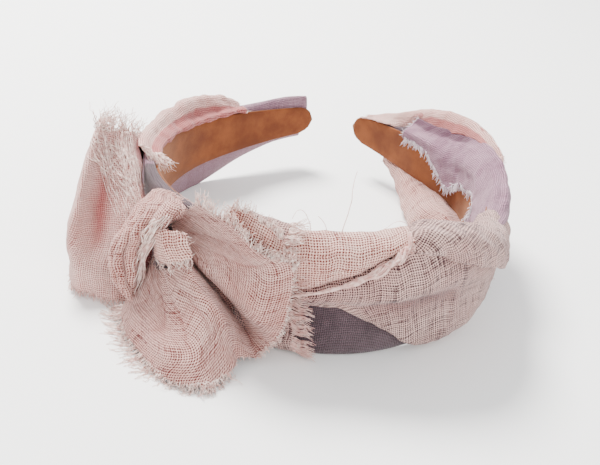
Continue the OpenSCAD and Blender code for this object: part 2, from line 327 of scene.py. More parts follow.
def sheet_of_linen(
    name,
    rows,
    material,
    seed,
    thickness=0.45,
    crease=0.0,
    crease_size=9.0,
    pleats=(0, 0.0),
    pleats_across=False,
    inner=None,
    step=0.8,
    torn=0.7,
    weave_turn=0.0,
):
    """One strip of linen from its given places. Lengths are in millimetres, weave_turn in degrees.

    Crease is how far the small random creases stand up, and pleats gives how many ridges run down the
    rows (or across them) and how far those stand up; their hollows get more painted fold shade and
    their ridges less. Inner marks cloth that gets painted shade as the inside of a fold, by eight
    shares: where it starts, is whole, stops being whole and ends, first down the rows and then along
    them. Torn is how far the outline wanders.
    """
    rows = np.asarray(rows, float)
    rough = placed(rows)
    count_across = int(max(8, line_length(rough, 0).mean() / (step * MM)))
    count_along = int(max(8, line_length(rough, 1).mean() / (step * MM)))
    places = draped(rows, count_across, count_along)
    points = placed(places)
    if torn:
        points = torn_outline(points, torn * MM, seed)
    # painted fold shade for each point, by how deep in a fold it lies
    fold = painted_fold_shade(points, outward_sign(places, points))
    down = np.linspace(0, 1, count_across)[:, None]
    share = np.linspace(0, 1, count_along)[None, :]
    if inner is not None:
        shaded = eased(down, inner[0], inner[1]) * (1 - eased(down, inner[2], inner[3]))
        beside = eased(share, inner[4], inner[5]) * (1 - eased(share, inner[6], inner[7]))
        fold = np.maximum(fold, shaded * beside)
    if pleats[0]:
        if pleats_across:
            share, down = down, share
        bent = share * pleats[0] + 0.35 * np.sin(down * 5.0 + share * 7.0 + seed)
        push = np.abs(np.sin(bent * math.pi)) ** PLEAT_SHARPNESS - PLEAT_MIDDLE
        push = push * (0.5 + 0.5 * np.sin(down * math.pi))
        outward = surface_normals(points) * outward_sign(places, points)
        points = points + outward * (push * pleats[1] * MM)[..., None]
        # the pleats' hollows get more painted fold shade and their ridges less
        fold = np.clip(fold - push * PLEAT_SHADE * min(1.0, pleats[1]), 0, 1)
    if crease:
        u, v = cloth_lengths(points)
        push = crumple(u, v, seed, crease_size * MM) * 0.7
        push += crumple(u, v, seed + 1, crease_size * MM * 0.45) * 0.3
        points = points + surface_normals(points) * (push * crease * MM)[..., None]
    points[..., 2] = np.maximum(points[..., 2], LOWEST_CLOTH)
    return closed_sheet(name + "_linen", points, material, thickness * MM, fold, weave_turn), points


# ------------------------------------------------ threads

TUBE_SIDES = 4


def tubes(name, lines, radii, material):
    """Many threads as one mesh: lines is threads x points x 3 in metres, radii is threads x points."""
    threads, count = lines.shape[:2]
    tangent = unit(np.gradient(lines, axis=1))
    helper = np.where(np.abs(tangent[..., 2:3]) < 0.8, [[[0.0, 0.0, 1.0]]], [[[1.0, 0.0, 0.0]]])
    side = unit(np.cross(tangent, helper))
    rise = np.cross(side, tangent)
    angles = np.arange(TUBE_SIDES) / TUBE_SIDES * math.tau
    ring = side[:, :, None] * np.cos(angles)[:, None] + rise[:, :, None] * np.sin(angles)[:, None]
    points = lines[:, :, None] + ring * radii[:, :, None, None]
    index = np.arange(threads * count * TUBE_SIDES).reshape(threads, count, TUBE_SIDES)
    here, after = index[:, :-1], index[:, 1:]
    quads = np.stack([here, np.roll(here, -1, 2), np.roll(after, -1, 2), after], -1).reshape(-1, 4)
    faces = quads.tolist() + index[:, 0, ::-1].tolist() + index[:, -1].tolist()
    return mesh_piece(name, points.reshape(-1, 3), faces, material)


def thinning(least, most, end, count, segments, radius, rng):
    """Thread radii in metres: each thread has its own, and thins to the share end at its tip."""
    return radius * MM * rng.uniform(least, most, (count, 1)) * np.linspace(1, end, segments)[None, :]


def thread_lines(starts, headings, lengths, rng, wave, stray, curl=0.35, segments=9, in_step=False):
    """Loose thread ends: each leaves its start along its heading, waves, and curls a little.

    Threads that lie in step wave together, as a combed fringe does.
    """
    threads = len(starts)
    t = np.linspace(0, 1, segments)
    heading = unit(headings + rng.normal(0, stray, headings.shape))
    bend = rng.normal(0, 1, headings.shape)
    bend = unit(bend - heading * np.sum(bend * heading, axis=-1, keepdims=True))
    sway = np.cross(heading, bend)
    reach = lengths[:, None, None]
    run = t[None, :, None]
    lines = starts[:, None] + heading[:, None] * run * reach
    lines = lines + bend[:, None] * (run**2) * reach * curl * rng.uniform(-1, 1, (threads, 1, 1))
    if in_step:
        phase = np.cumsum(rng.normal(0, 0.25, (threads, 1, 1)), axis=0)
        cycles = 1.5 + np.cumsum(rng.normal(0, 0.01, (threads, 1, 1)), axis=0)
        sway = np.broadcast_to(unit(np.gradient(starts, axis=0)).mean(axis=0), sway.shape)
    else:
        phase = rng.uniform(0, math.tau, (threads, 1, 1))
        cycles = rng.uniform(1.2, 2.6, (threads, 1, 1))
    ripple = np.sin(run * cycles * math.tau + phase) - np.sin(phase)
    lines = lines + sway[:, None] * ripple * wave * MM * rng.uniform(0.4, 1.4, (threads, 1, 1))
    lines[..., 2] = np.maximum(lines[..., 2], LOWEST_THREAD)
    return lines


def edge_of(points, side):
    """The line of an edge of a grid of points and the way out of the cloth there."""
    if side.endswith("column"):
        points = np.swapaxes(points, 0, 1)
    if side.startswith("last"):
        points = points[::-1]
    return points[0], unit(points[0] - points[2])


FRINGE_RADIUS = 0.17
FRINGE_ROOT = 0.6
TUFT_THREADS = 7


def fringe(name, points, seed, side, count, length, material, along, lean, clump, **lie):
    """Frayed thread ends on part of one raw edge of a sheet.

    Length is (least, most) in millimetres, along the part of the edge from 0 to 1, lean a direction in
    the world that is added to the way out of the cloth, and clump how far tufts of threads part.
    """
    rng = np.random.default_rng(seed)
    edge, outward = edge_of(points, side)
    first = int(along[0] * (len(edge) - 1))
    last = int(along[1] * (len(edge) - 1)) + 1
    edge = edge[first:last]
    outward = unit(outward[first:last] + np.array(lean, float))
    place = np.sort(rng.uniform(0, len(edge) - SHORT_OF_END, count))
    starts = between(edge, place)
    headings = unit(between(outward, place))
    tufts = max(2, count // TUFT_THREADS)
    pull = rng.normal(0, clump, (tufts, 3))
    tuft = np.clip((place / len(edge) * tufts).astype(int), 0, tufts - 1)
    headings = headings + pull[tuft]
    starts = starts - headings * FRINGE_ROOT * MM + rng.normal(0, 0.12 * MM, starts.shape)
    lengths = rng.uniform(*length, count) * MM
    lines = thread_lines(starts, headings, lengths, rng, **lie)
    radii = thinning(0.7, 1.3, 0.45, count, lines.shape[1], FRINGE_RADIUS, rng)
    return tubes(name, lines, radii, material)


LAID_SEGMENTS = 14
BAND_CENTRE = (0.0, 0.06, 0.0)


def laid_threads(name, points, count, begin, finish, material, seed, lift, radius, wave):
    """Combed loose threads that lie on a sheet.

    Begin and finish give the shares of the rows and columns where threads start and end, then how far
    each of those spreads. A share past 1 runs on freely beyond the sheet's edge.
    """
    rng = np.random.default_rng(seed)
    rows, columns = points.shape[:2]
    normals = surface_normals(points)
    away = np.sum(normals * (points - np.array(BAND_CENTRE)), axis=-1).mean()
    normals = normals * math.copysign(1.0, away)
    t = np.linspace(0, 1, LAID_SEGMENTS)
    lines = []
    for _ in range(count):
        start = np.array(begin[:2]) + rng.uniform(-1, 1, 2) * np.array(begin[2:])
        end = np.array(finish[:2]) + rng.uniform(-1, 1, 2) * np.array(finish[2:])
        path = start + (end - start) * t[:, None]
        path[:, 0] += 0.05 * np.sin(t * rng.uniform(2, 5) + rng.uniform(0, math.tau))
        inside = np.clip(path, 0, 1)
        beyond = path - inside
        r = inside[:, 0] * (rows - SHORT_OF_END)
        c = inside[:, 1] * (columns - SHORT_OF_END)
        i = r.astype(int)
        j = c.astype(int)
        row_share = (r - i)[:, None]
        column_share = (c - j)[:, None]
        low = points[i, j] * (1 - column_share) + points[i, j + 1] * column_share
        high = points[i + 1, j] * (1 - column_share) + points[i + 1, j + 1] * column_share
        line = low * (1 - row_share) + high * row_share
        down = points[np.minimum(i + 1, rows - 1), j] - points[i, j]
        over = points[i, np.minimum(j + 1, columns - 1)] - points[i, j]
        line = line + down * beyond[:, :1] * rows + over * beyond[:, 1:] * columns
        height = lift * MM * rng.uniform(0.6, 1.6) * (0.3 + np.sin(t * math.pi))
        line = line + normals[i, j] * height[:, None]
        sway = np.sin(t * rng.uniform(5, 12) + rng.uniform(0, math.tau)) * wave * MM
        line = line + unit(over) * sway[:, None] * t[:, None]
        line[:, 2] -= np.sum(beyond.clip(0, 1), axis=1) * 0.02
        line[:, 2] = np.maximum(line[:, 2], LOWEST_THREAD)
        lines.append(line)
    return tubes(name, np.array(lines), thinning(0.6, 1.3, 0.5, count, LAID_SEGMENTS, radius, rng), material)


STRAY_RADIUS = 0.14
STRAY_SEGMENTS = 24


def loose_threads(name, routes, material):
    """A few long loose threads along given band places."""
    rng = np.random.default_rng(1)
    lines = []
    for route in routes:
        line = placed(spline(route, STRAY_SEGMENTS))
        lines.append(line + np.cumsum(rng.normal(0, 0.05 * MM, line.shape), axis=0))
    radii = thinning(0.8, 1.2, 0.5, len(lines), STRAY_SEGMENTS, STRAY_RADIUS, rng)
    return tubes(name, np.array(lines), radii, material)


# ------------------------------------------------ shader groups and materials


def colour(screen):
    """A colour given as three 0 to 255 screen values, as the shader's linear values."""
    values = []
    for part in screen:
        part = part / 255
        values.append(part / 12.92 if part <= 0.04045 else ((part + 0.055) / 1.055) ** 2.4)
    return (*values, 1.0)


def new_group(name, inputs, outputs):
    """An empty shader group with named sockets, and its input and output nodes."""
    group = bpy.data.node_groups.new(name, "ShaderNodeTree")
    for socket, kind, value in inputs:
        made = group.interface.new_socket(name=socket, in_out="INPUT", socket_type=kind)
        if value is not None:
            made.default_value = value
    for socket, kind in outputs:
        group.interface.new_socket(name=socket, in_out="OUTPUT", socket_type=kind)
    start = group.nodes.new("NodeGroupInput")
    end = group.nodes.new("NodeGroupOutput")
    return group, start.outputs, end.inputs


def wire(tree, source, target):
    """Sets a socket from another socket or from a plain value."""
    if isinstance(source, bpy.types.NodeSocket):
        tree.links.new(source, target)
    else:
        target.default_value = source


def maths(tree, operation, *values, clamp=False):
    """One maths node; gives its result."""
    node = tree.nodes.new("ShaderNodeMath")
    node.operation = operation
    node.use_clamp = clamp
    for value, socket in zip(values, node.inputs):
        wire(tree, value, socket)
    return node.outputs[0]


def mixed(tree, share, first, second):
    """A mix of two colours by share."""
    node = tree.nodes.new("ShaderNodeMix")
    node.data_type = "RGBA"
    wire(tree, share, node.inputs["Factor"])
    wire(tree, first, node.inputs["A"])
    wire(tree, second, node.inputs["B"])
    return node.outputs["Result"]


def noise(tree, where, scale, detail=2.0, roughness=0.5):
    """A noise node; gives its 0 to 1 value."""
    node = tree.nodes.new("ShaderNodeTexNoise")
    wire(tree, where, node.inputs["Vector"])
    wire(tree, scale, node.inputs["Scale"])
    node.inputs["Detail"].default_value = detail
    node.inputs["Roughness"].default_value = roughness
    return node.outputs["Fac"]


def remapped(tree, value, low, high, to_low=0.0, to_high=1.0):
    """A value stretched from one range to another and held inside it."""
    node = tree.nodes.new("ShaderNodeMapRange")
    node.interpolation_type = "SMOOTHSTEP"
    for given, socket in zip((value, low, high, to_low, to_high), node.inputs):
        wire(tree, given, socket)
    return node.outputs[0]


THREAD_WANDER = 1.0
FOLD_SHADE_STRENGTH = 0.8


def stretched(tree, vector, scale):
    """A place with each of its axes scaled."""
    node = tree.nodes.new("ShaderNodeMapping")
    node.inputs["Scale"].default_value = scale
    wire(tree, vector, node.inputs["Vector"])
    return node.outputs[0]


def vector_maths(tree, operation, vector, socket, value):
    """One vector node, whose second input is named or numbered; gives its result."""
    node = tree.nodes.new("ShaderNodeVectorMath")
    node.operation = operation
    wire(tree, vector, node.inputs[0])
    wire(tree, value, node.inputs[socket])
    return node.outputs[0]


def make_weave_group():
    """Open plain weave: warp and weft threads pass over and under each other and leave small square gaps."""
    tree, given, result = new_group(
        "open_plain_weave",
        [
            ("Cloth", "NodeSocketVector", None),
            ("Threads per metre", "NodeSocketFloat", 1300.0),
            ("Gap size", "NodeSocketFloat", 0.4),
        ],
        [("Height", "NodeSocketFloat"), ("Gap", "NodeSocketFloat"), ("Slub", "NodeSocketFloat")],
    )
    cloth = given["Cloth"]
    split = tree.nodes.new("ShaderNodeSeparateXYZ")
    wire(tree, cloth, split.inputs[0])

    def thread_wave(axis, where):
        count = maths(tree, "MULTIPLY", split.outputs[axis], given["Threads per metre"])
        wander = maths(tree, "SUBTRACT", noise(tree, where, 260.0, 3.0), 0.5)
        count = maths(tree, "ADD", count, maths(tree, "MULTIPLY", wander, THREAD_WANDER))
        return maths(tree, "SINE", maths(tree, "MULTIPLY", count, math.pi))

    def thread_height(body, lift):
        lifted = maths(tree, "MULTIPLY_ADD", lift, 0.35, 0.65)
        return maths(tree, "MULTIPLY", maths(tree, "POWER", body, 0.6), lifted)

    wave_x = thread_wave("X", cloth)
    wave_y = thread_wave("Y", vector_maths(tree, "ADD", cloth, 1, (3.1, 7.7, 1.3)))
    body_x = maths(tree, "ABSOLUTE", wave_x)
    body_y = maths(tree, "ABSOLUTE", wave_y)
    warp_lift = maths(tree, "MULTIPLY", maths(tree, "SIGN", wave_x), wave_y)
    weft_lift = maths(tree, "MULTIPLY", maths(tree, "MULTIPLY", maths(tree, "SIGN", wave_y), wave_x), -1.0)
    warp = thread_height(body_x, warp_lift)
    weft = thread_height(body_y, weft_lift)
    weft_slub = noise(tree, stretched(tree, cloth, (60.0, 1200.0, 1.0)), 1.0)
    warp_slub = noise(tree, stretched(tree, cloth, (1200.0, 60.0, 1.0)), 1.0)
    on_top = maths(tree, "GREATER_THAN", warp, weft)
    slub = maths(tree, "MULTIPLY_ADD", maths(tree, "SUBTRACT", warp_slub, weft_slub), on_top, weft_slub)
    both = maths(tree, "ADD", warp_slub, maths(tree, "SUBTRACT", weft_slub, 1.0))
    open_size = maths(tree, "MULTIPLY_ADD", both, 0.9, given["Gap size"])
    low = maths(tree, "SUBTRACT", open_size, 0.2)
    high = maths(tree, "ADD", open_size, 0.12)
    gap = remapped(tree, maths(tree, "MAXIMUM", body_x, body_y), low, high, 1.0, 0.0)
    wire(tree, maths(tree, "MAXIMUM", warp, weft), result["Height"])
    wire(tree, gap, result["Gap"])
    wire(tree, slub, result["Slub"])
    return tree


def make_dye_and_fold_shade_group():
    """Uneven dye: broad clouds of lighter and darker cloth, with painted shade deepening the colour in the
    folds.
    """
    tree, given, result = new_group(
        "uneven_dye_and_painted_fold_shade",
        [
            ("Place", "NodeSocketVector", None),
            ("Colour", "NodeSocketColor", (0.5, 0.5, 0.5, 1.0)),
            ("Faded colour", "NodeSocketColor", (0.6, 0.6, 0.6, 1.0)),
            ("Fold colour", "NodeSocketColor", (0.3, 0.3, 0.3, 1.0)),
            ("Fold", "NodeSocketFloat", 0.0),
        ],
        [("Colour", "NodeSocketColor")],
    )
    clouds = maths(tree, "MULTIPLY", noise(tree, given["Place"], 55.0, 3.0), 0.75)
    specks = noise(tree, given["Place"], 420.0)
    share = remapped(tree, maths(tree, "MULTIPLY_ADD", specks, 0.35, clouds), 0.35, 0.75)
    base = mixed(tree, share, given["Colour"], given["Faded colour"])
    # painted fold shade: the cloth turns towards the fold colour where it lies deep in a fold
    fold_shade_share = maths(tree, "MULTIPLY", remapped(tree, given["Fold"], 0.5, 1.0), FOLD_SHADE_STRENGTH)
    wire(tree, mixed(tree, fold_shade_share, base, given["Fold colour"]), result["Colour"])
    return tree


def make_nap_group():
    """Suede nap: brushed short pile with lighter and darker strokes and a few rubbed patches."""
    tree, given, result = new_group(
        "suede_nap",
        [
            ("Place", "NodeSocketVector", None),
            ("Colour", "NodeSocketColor", (0.4, 0.2, 0.1, 1.0)),
            ("Brushed colour", "NodeSocketColor", (0.5, 0.25, 0.1, 1.0)),
        ],
        [("Colour", "NodeSocketColor"), ("Height", "NodeSocketFloat")],
    )
    stroke = noise(tree, given["Place"], 120.0, 4.0, 0.6)
    patch = noise(tree, given["Place"], 38.0)
    pile = noise(tree, given["Place"], 2600.0, 2.0, 0.6)
    share = maths(tree, "ADD", maths(tree, "MULTIPLY", stroke, 0.55), maths(tree, "MULTIPLY", patch, 0.45))
    share = remapped(tree, share, 0.36, 0.66)
    share = maths(tree, "MULTIPLY_ADD", maths(tree, "SUBTRACT", pile, 0.5), 0.5, share, clamp=True)
    wire(tree, mixed(tree, share, given["Colour"], given["Brushed colour"]), result["Colour"])
    wire(tree, pile, result["Height"])
    return tree


WEAVE = make_weave_group()
DYE_AND_FOLD_SHADE = make_dye_and_fold_shade_group()
NAP = make_nap_group()


def placed_group(tree, group, **values):
    """A shader group placed in a material with its own values, whose names use underscores for spaces."""
    node = tree.nodes.new("ShaderNodeGroup")
    node.node_tree = group
    for name, value in values.items():
        wire(tree, value, node.inputs[name.replace("_", " ")])
    return node.outputs


def new_material(name, roughness, sheen=0.0, sheen_colour=(1, 1, 1), specular=0.2):
    """A material with one Principled shader; gives the material, its tree and the shader."""
    material = bpy.data.materials.new(name)
    material.use_nodes = True
    tree = material.node_tree
    shader = tree.nodes["Principled BSDF"]
    shader.inputs["Roughness"].default_value = roughness
    shader.inputs["Specular IOR Level"].default_value = specular
    shader.inputs["Sheen Weight"].default_value = sheen
    shader.inputs["Sheen Roughness"].default_value = 0.5
    shader.inputs["Sheen Tint"].default_value = (*sheen_colour, 1.0)
    return material, tree, shader


def object_place(tree):
    """The place on the object itself, for noises."""
    return tree.nodes.new("ShaderNodeTexCoord").outputs["Object"]


def raise_surface(tree, shader, height, strength, distance):
    """Lets a height between 0 and 1 stand up from the surface by distance in millimetres."""
    raised = tree.nodes.new("ShaderNodeBump")
    raised.inputs["Strength"].default_value = strength
    raised.inputs["Distance"].default_value = distance * MM
    wire(tree, height, raised.inputs["Height"])
    wire(tree, raised.outputs[0], shader.inputs["Normal"])


def linen(name, main, faded, fold, gap_colour, threads, gap, gap_depth=1.0):
    """Woven linen with visible threads, darker gaps, slubs and uneven dye, and painted shade in its folds and
    where threads dip under each other; threads are per metre.
    """
    material, tree, shader = new_material(name, 0.92, 0.25, (1.0, 0.93, 0.92))
    cloth = tree.nodes.new("ShaderNodeUVMap")
    cloth.uv_map = "Weave"
    attribute = tree.nodes.new("ShaderNodeAttribute")
    attribute.attribute_name = "Fold"
    weave = placed_group(tree, WEAVE, Cloth=cloth.outputs[0], Threads_per_metre=threads, Gap_size=gap)
    dye = placed_group(
        tree,
        DYE_AND_FOLD_SHADE,
        Place=object_place(tree),
        Colour=colour(main),
        Faded_colour=colour(faded),
        Fold_colour=colour(fold),
        Fold=attribute.outputs["Fac"],
    )
    slub_tone = remapped(tree, weave["Slub"], 0.3, 0.7, 0.76, 1.18)
    # painted shade and highlight of the weave: threads are darker where they dip under each other and lighter
    # on top
    slub_and_weave_shade = maths(tree, "MULTIPLY", slub_tone, remapped(tree, weave["Height"], 0.2, 0.95, 0.55, 1.15))
    tinted = vector_maths(tree, "SCALE", dye["Colour"], "Scale", slub_and_weave_shade)
    darkness = maths(tree, "MULTIPLY", weave["Gap"], gap_depth)
    wire(tree, mixed(tree, darkness, tinted, colour(gap_colour)), shader.inputs["Base Color"])
    raise_surface(tree, shader, weave["Height"], 0.7, 0.5)
    return material


def thread_material(name, pale, deep):
    """Loose spun thread, slightly fuzzy and uneven in colour."""
    material, tree, shader = new_material(name, 0.85, 0.3, (1.0, 0.95, 0.93))
    place = object_place(tree)
    patches = remapped(tree, noise(tree, place, 700.0), 0.35, 0.65)
    wire(tree, mixed(tree, patches, colour(deep), colour(pale)), shader.inputs["Base Color"])
    raise_surface(tree, shader, noise(tree, place, 9000.0, 1.0), 0.5, 0.05)
    return material


def suede(pile, brushed):
    """Cognac suede of the lining."""
    material, tree, shader = new_material("cognac_suede", 0.95, 0.35, (1.0, 0.75, 0.55), 0.1)
    place = object_place(tree)
    nap = placed_group(tree, NAP, Place=place, Colour=colour(pile), Brushed_colour=colour(brushed))
    wire(tree, nap["Colour"], shader.inputs["Base Color"])
    raise_surface(tree, shader, nap["Height"], 0.5, 0.12)
    return material


def moulded_plastic(dull, bright):
    """Plain moulded plastic of the springy core."""
    material, tree, shader = new_material("moulded_plastic", 0.45, specular=0.5)
    grain = noise(tree, object_place(tree), 900.0, 3.0)
    wire(tree, mixed(tree, grain, colour(dull), colour(bright)), shader.inputs["Base Color"])
    wire(tree, remapped(tree, grain, 0.3, 0.7, 0.4, 0.52), shader.inputs["Roughness"])
    return material


# each linen: its colour, faded, in folds as painted shade, and in the gaps, then threads per metre and gap
# size
PINK = linen(
    "dusty_pink_linen", (198, 146, 134), (222, 180, 168), (136, 54, 52), (92, 34, 32), 1220.0, 0.84
)
PINK_OPEN = linen(
    "open_pink_linen", (208, 152, 138), (230, 190, 176), (160, 66, 58), (96, 28, 22), 1120.0, 0.82
)
PINK_OVER_MAUVE = linen(
    "pink_linen_over_mauve", (184, 142, 134), (216, 178, 168), (106, 56, 58), (48, 20, 26), 1180.0, 0.88
)
PINK_PALE = linen(
    "pale_pink_linen", (206, 158, 148), (222, 184, 174), (160, 72, 72), (116, 52, 50), 1320.0, 0.7
)
# one mauve dye in three copies: this darker one is painted shade on the crown and right arm cover, and also
# darkens the pocket under the right tip strip; the two lighter ones are painted light
MAUVE_IN_PAINTED_SHADE = linen("mauve_linen", (64, 46, 53), (88, 68, 75), (44, 30, 37), (14, 8, 12), 1450.0, 0.7)
MAUVE_IN_PAINTED_LIGHT = linen(
    "mauve_linen_painted_light", (132, 96, 112), (162, 128, 140), (90, 60, 76), (66, 40, 56), 1500.0, 0.62, 0.9
)
MAUVE_STRIP_IN_PAINTED_LIGHT = linen("mauve_strip_linen_painted_light", (132, 92, 112), (166, 128, 144), (76, 38, 56), (50, 22, 42), 1350.0, 0.7)
BLUSH = thread_material("pink_thread", (236, 202, 192), (206, 154, 144))
CREAM = thread_material("cream_thread", (244, 222, 212), (208, 166, 156))
WHITE = thread_material("white_mauve_thread", (240, 232, 236), (206, 184, 198))
SUEDE = suede((92, 44, 22), (126, 69, 36))
PLASTIC = moulded_plastic((198, 190, 176), (214, 207, 194))

# ------------------------------------------------ the three layers of the band

# each length of the band: its name, where it starts and ends, and what it moves with
PARTS_OF_BAND = (
    ("left_arm", -HALF_LENGTH, -CROWN_END, LEFT),
    ("crown", -CROWN_END, CROWN_END, None),
    ("right_arm", CROWN_END, HALF_LENGTH, RIGHT),
)


def move_with(piece, body):
    """A piece is parented to one side of the band, or has its placing baked into its mesh and no parent when
    body is None, as the crown's pieces do.
    """
    if body is None:
        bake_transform(piece)
    else:
        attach(piece, body)


def swept(name, start, end, section, material, step=2.0):
    """A closed bar swept along the band; section(s) gives its outline as places (n, z)."""
    count = int((end - start) / step) + 1
    stations = np.linspace(start, end, count)
    rings = []
    for s in stations:
        outline = np.asarray(section(s), float)
        rings.append(np.column_stack([np.full(len(outline), s), outline]))
    rings = placed(np.array(rings))
    corners = rings.shape[1]
    index = np.arange(count * corners).reshape(count, corners)
    here, after = index[:-1], index[1:]
    quads = np.stack([here, np.roll(here, -1, 1), np.roll(after, -1, 1), after], -1).reshape(-1, 4)
    faces = quads.tolist() + [index[0, ::-1].tolist(), index[-1].tolist()]
    return mesh_piece(name, rings.reshape(-1, 3), faces, material)


def slab(inner, outer, margin, edge):
    """The outline of a flat layer between two distances from the inner face, with its long edges rounded."""

    def section(s):
        tall = max(0.4, float(rounded_half_width(s)) - margin)
        soft = min(edge, tall * 0.5)
        middle = (inner + outer) / 2
        thick = (outer - inner) / 2
        turns = np.linspace(0, math.pi, 7)
        high = BAND_MIDDLE + tall - soft
        top = [(middle + thick * math.cos(a), high + soft * math.sin(a)) for a in turns]
        low = BAND_MIDDLE - tall + soft
        bottom = [(middle - thick * math.cos(a), low - soft * math.sin(a)) for a in turns]
        face = np.linspace(tall - soft, soft - tall, 8)[1:-1]
        inside = [(inner, BAND_MIDDLE + z) for z in face]
        outside = [(outer, BAND_MIDDLE + z) for z in face[::-1]]
        return top + inside + bottom + outside

    return section


CORE_END = 176.0
CORE_SECTION = slab(2.0, 4.2, 0.6, 0.9)
LINING_SECTION = slab(0.0, 1.0, 0.2, 0.5)

for part, start, end, body in PARTS_OF_BAND:
    core = swept("springy_core_" + part, max(start, -CORE_END), min(end, CORE_END), CORE_SECTION, PLASTIC)
    lining = swept("suede_lining_" + part, start, end, LINING_SECTION, SUEDE, 1.5)
    move_with(core, body)
    move_with(lining, body)
    if part == "crown":
        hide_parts("band_core")
        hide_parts("suede_lining")


COVER_HEM = 4.5
SLEEVE_RISE = 3.2
SLEEVE_SAG = 10.5
TIP_CUT = (2.6, 3.0)
COVER_STEP = 5.0
RIGHT_TIP_STATIONS = (186.0, 188.5, 189.9)
COVER_CORE_FACE = 2.4


def cover_rows(start, end):
    """The mauve cover: an outer face that turns over both edges of the core and goes under the lining."""
    stations = np.arange(start, end + 0.1, COVER_STEP)
    if end > CROWN_END:
        stations = np.append(stations[:-1], RIGHT_TIP_STATIONS)
    tall = np.where(stations < 0, half_width(stations), rounded_half_width(stations))
    rise = 1.0 + SLEEVE_RISE * eased(-stations, 150, 186) - 1.2 * eased(stations, 150, 180)
    sag = 1.0 + SLEEVE_SAG * bump_between(-stations, 96, 126, 176)
    sag = sag + 1.2 * eased(-stations, 150, 170) + 0.9 * (1 - eased(np.abs(stations), 50, CROWN_END))
    puff = 1.2 * np.exp(-((stations - 15) / 30) ** 2)
    top = BAND_MIDDLE + tall
    bottom = BAND_MIDDLE - tall
    thin = 1.0 - 0.75 * eased(np.abs(stations), 180, HALF_LENGTH)
    profile = (
        (1.4, top - COVER_HEM),
        (1.4, top - 0.6),
        (2.0, top + rise * 0.8),
        (3.4, top + rise),
        (4.8, top + rise * 0.5),
        (5.0 + puff * 0.6, top - tall * 0.4),
        (5.0 + puff, BAND_MIDDLE),
        (5.1 + puff * 1.4, bottom + tall * 0.4),
        (5.0 + puff, bottom - sag * 0.4),
        (3.6 + puff * 0.6, bottom - sag),
        (2.0, bottom - sag * 0.7),
        (1.4, bottom + 0.6),
        (1.4, bottom + COVER_HEM),
    )
    rows = []
    for down, (n, z) in enumerate(profile):
        beyond = n - COVER_CORE_FACE
        away = COVER_CORE_FACE + beyond * np.where(beyond > 0, thin, 1.0)
        cut = (TIP_CUT[0] + TIP_CUT[1] * down / len(profile)) * eased(-stations, 160, HALF_LENGTH)
        cut = cut - TIP_CUT[0] * eased(stations, 160, HALF_LENGTH)
        rows.append(np.stack(np.broadcast_arrays(stations + cut, away, z), -1))
    return rows


covers = {}
for part, start, end, body in PARTS_OF_BAND:
    # the left arm cover takes the lighter copy of the mauve as painted light, the crown and right arm covers
    # the darker copy as painted shade
    material = MAUVE_IN_PAINTED_LIGHT if part == "left_arm" else MAUVE_IN_PAINTED_SHADE
    rows = cover_rows(start, end)
    cover, _ = sheet_of_linen("mauve_cover_" + part, rows, material, thickness=0.5, step=1.2, seed=3, torn=0)
    covers[part] = cover
    move_with(cover, body)
    if part == "crown":
        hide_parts("mauve_base_cover")

# ------------------------------------------------ collar and the two front strips

CREASE_STATIONS = (-8, 0, 7, 13, 18, 23, 28, 34)
CREASE_HEIGHTS = (23.5, 26, 30.2, 33.2, 37.4, 41.4, 44.6, 46)
ROLL_TOPS = (44, 44.8, 45.6, 46, 46.2, 46.8, 47.4, 47.6)
ROLL_REACH = (10.5, 11.3, 11.8, 11.8, 11.4, 10.8, 9.8, 8.4)


def upper_strip_sections():
    """The upper strip: from the inner face over the top edge and down to the crease, and turned under."""
    for s, crease, top, reach in zip(CREASE_STATIONS, CREASE_HEIGHTS, ROLL_TOPS, ROLL_REACH):
        drop = top - crease
        yield s, (
            (-1.2, top - 11),
            (-1.3, top - 5),
            (1.0, top - 1),
            (5.0, top),
            (reach - 1.2, top - drop * 0.22),
            (reach, top - drop * 0.5),
            (reach - 0.6, top - drop * 0.78),
            (8.0, crease + 0.6),
            (6.0, crease + 1.6),
        )


upper, upper_points = sheet_of_linen(
    "upper_front_strip", by_columns(upper_strip_sections()), PINK_OPEN, crease=0.25, seed=11, step=0.7
)

LOWER_PATHS = (
    (-6, ((6, 26), (8, 23.6), (8.4, 22), (7.6, 20.6), (7.2, 19.6), (6.4, 20.4), (5.8, 23))),
    (6, ((6, 31), (10, 27.4), (10.4, 24), (8.4, 22.2), (7.8, 20.6), (6.6, 21.5), (5.8, 25))),
    (12, ((6.4, 35), (11, 31), (11.8, 25.6), (8.8, 23), (8.2, 20.8), (6.8, 22), (5.8, 26))),
    (20, ((6.8, 41), (11.8, 35.6), (13.2, 27.4), (9.2, 22.6), (8.4, 16.2), (6.8, 17.4), (5.8, 22))),
    (27, ((7, 45), (12.2, 39.6), (14.2, 29), (9.6, 22.8), (8.8, 11.4), (6.8, 13), (5.8, 18))),
    (34, ((6.5, 46.4), (12.2, 41), (14.4, 30.4), (9.8, 22.8), (9.2, 6.6), (6.8, 6), (5.8, 10))),
    (42, ((6, 46), (12, 40.4), (14, 31.4), (10, 22.6), (9.6, 5), (5.6, 2.6), (-0.6, 7))),
    (50, ((5.5, 45), (12, 38.4), (13.2, 30), (10.4, 20.4), (9.8, 4.6), (5.4, 2.4), (-1.0, 8))),
    (60, ((5.5, 41), (11.6, 35), (12.2, 27), (10.8, 17.4), (10.2, 6.4), (5.2, 3), (-1.2, 9))),
    (69, ((5.5, 37), (10.6, 32), (10.8, 24), (10.2, 15), (9.2, 7.6), (4.8, 4), (-1.2, 9.5))),
    (77, ((5.2, 34), (9.2, 29.5), (9.2, 22), (8.8, 14), (8, 8.6), (4.6, 5.6), (-1.2, 10.5))),
)


lower, lower_points = sheet_of_linen(
    "lower_front_strip",
    by_columns(LOWER_PATHS),
    PINK_OVER_MAUVE,
    crease=0.35,
    crease_size=14,
    seed=21,
    weave_turn=14,
)

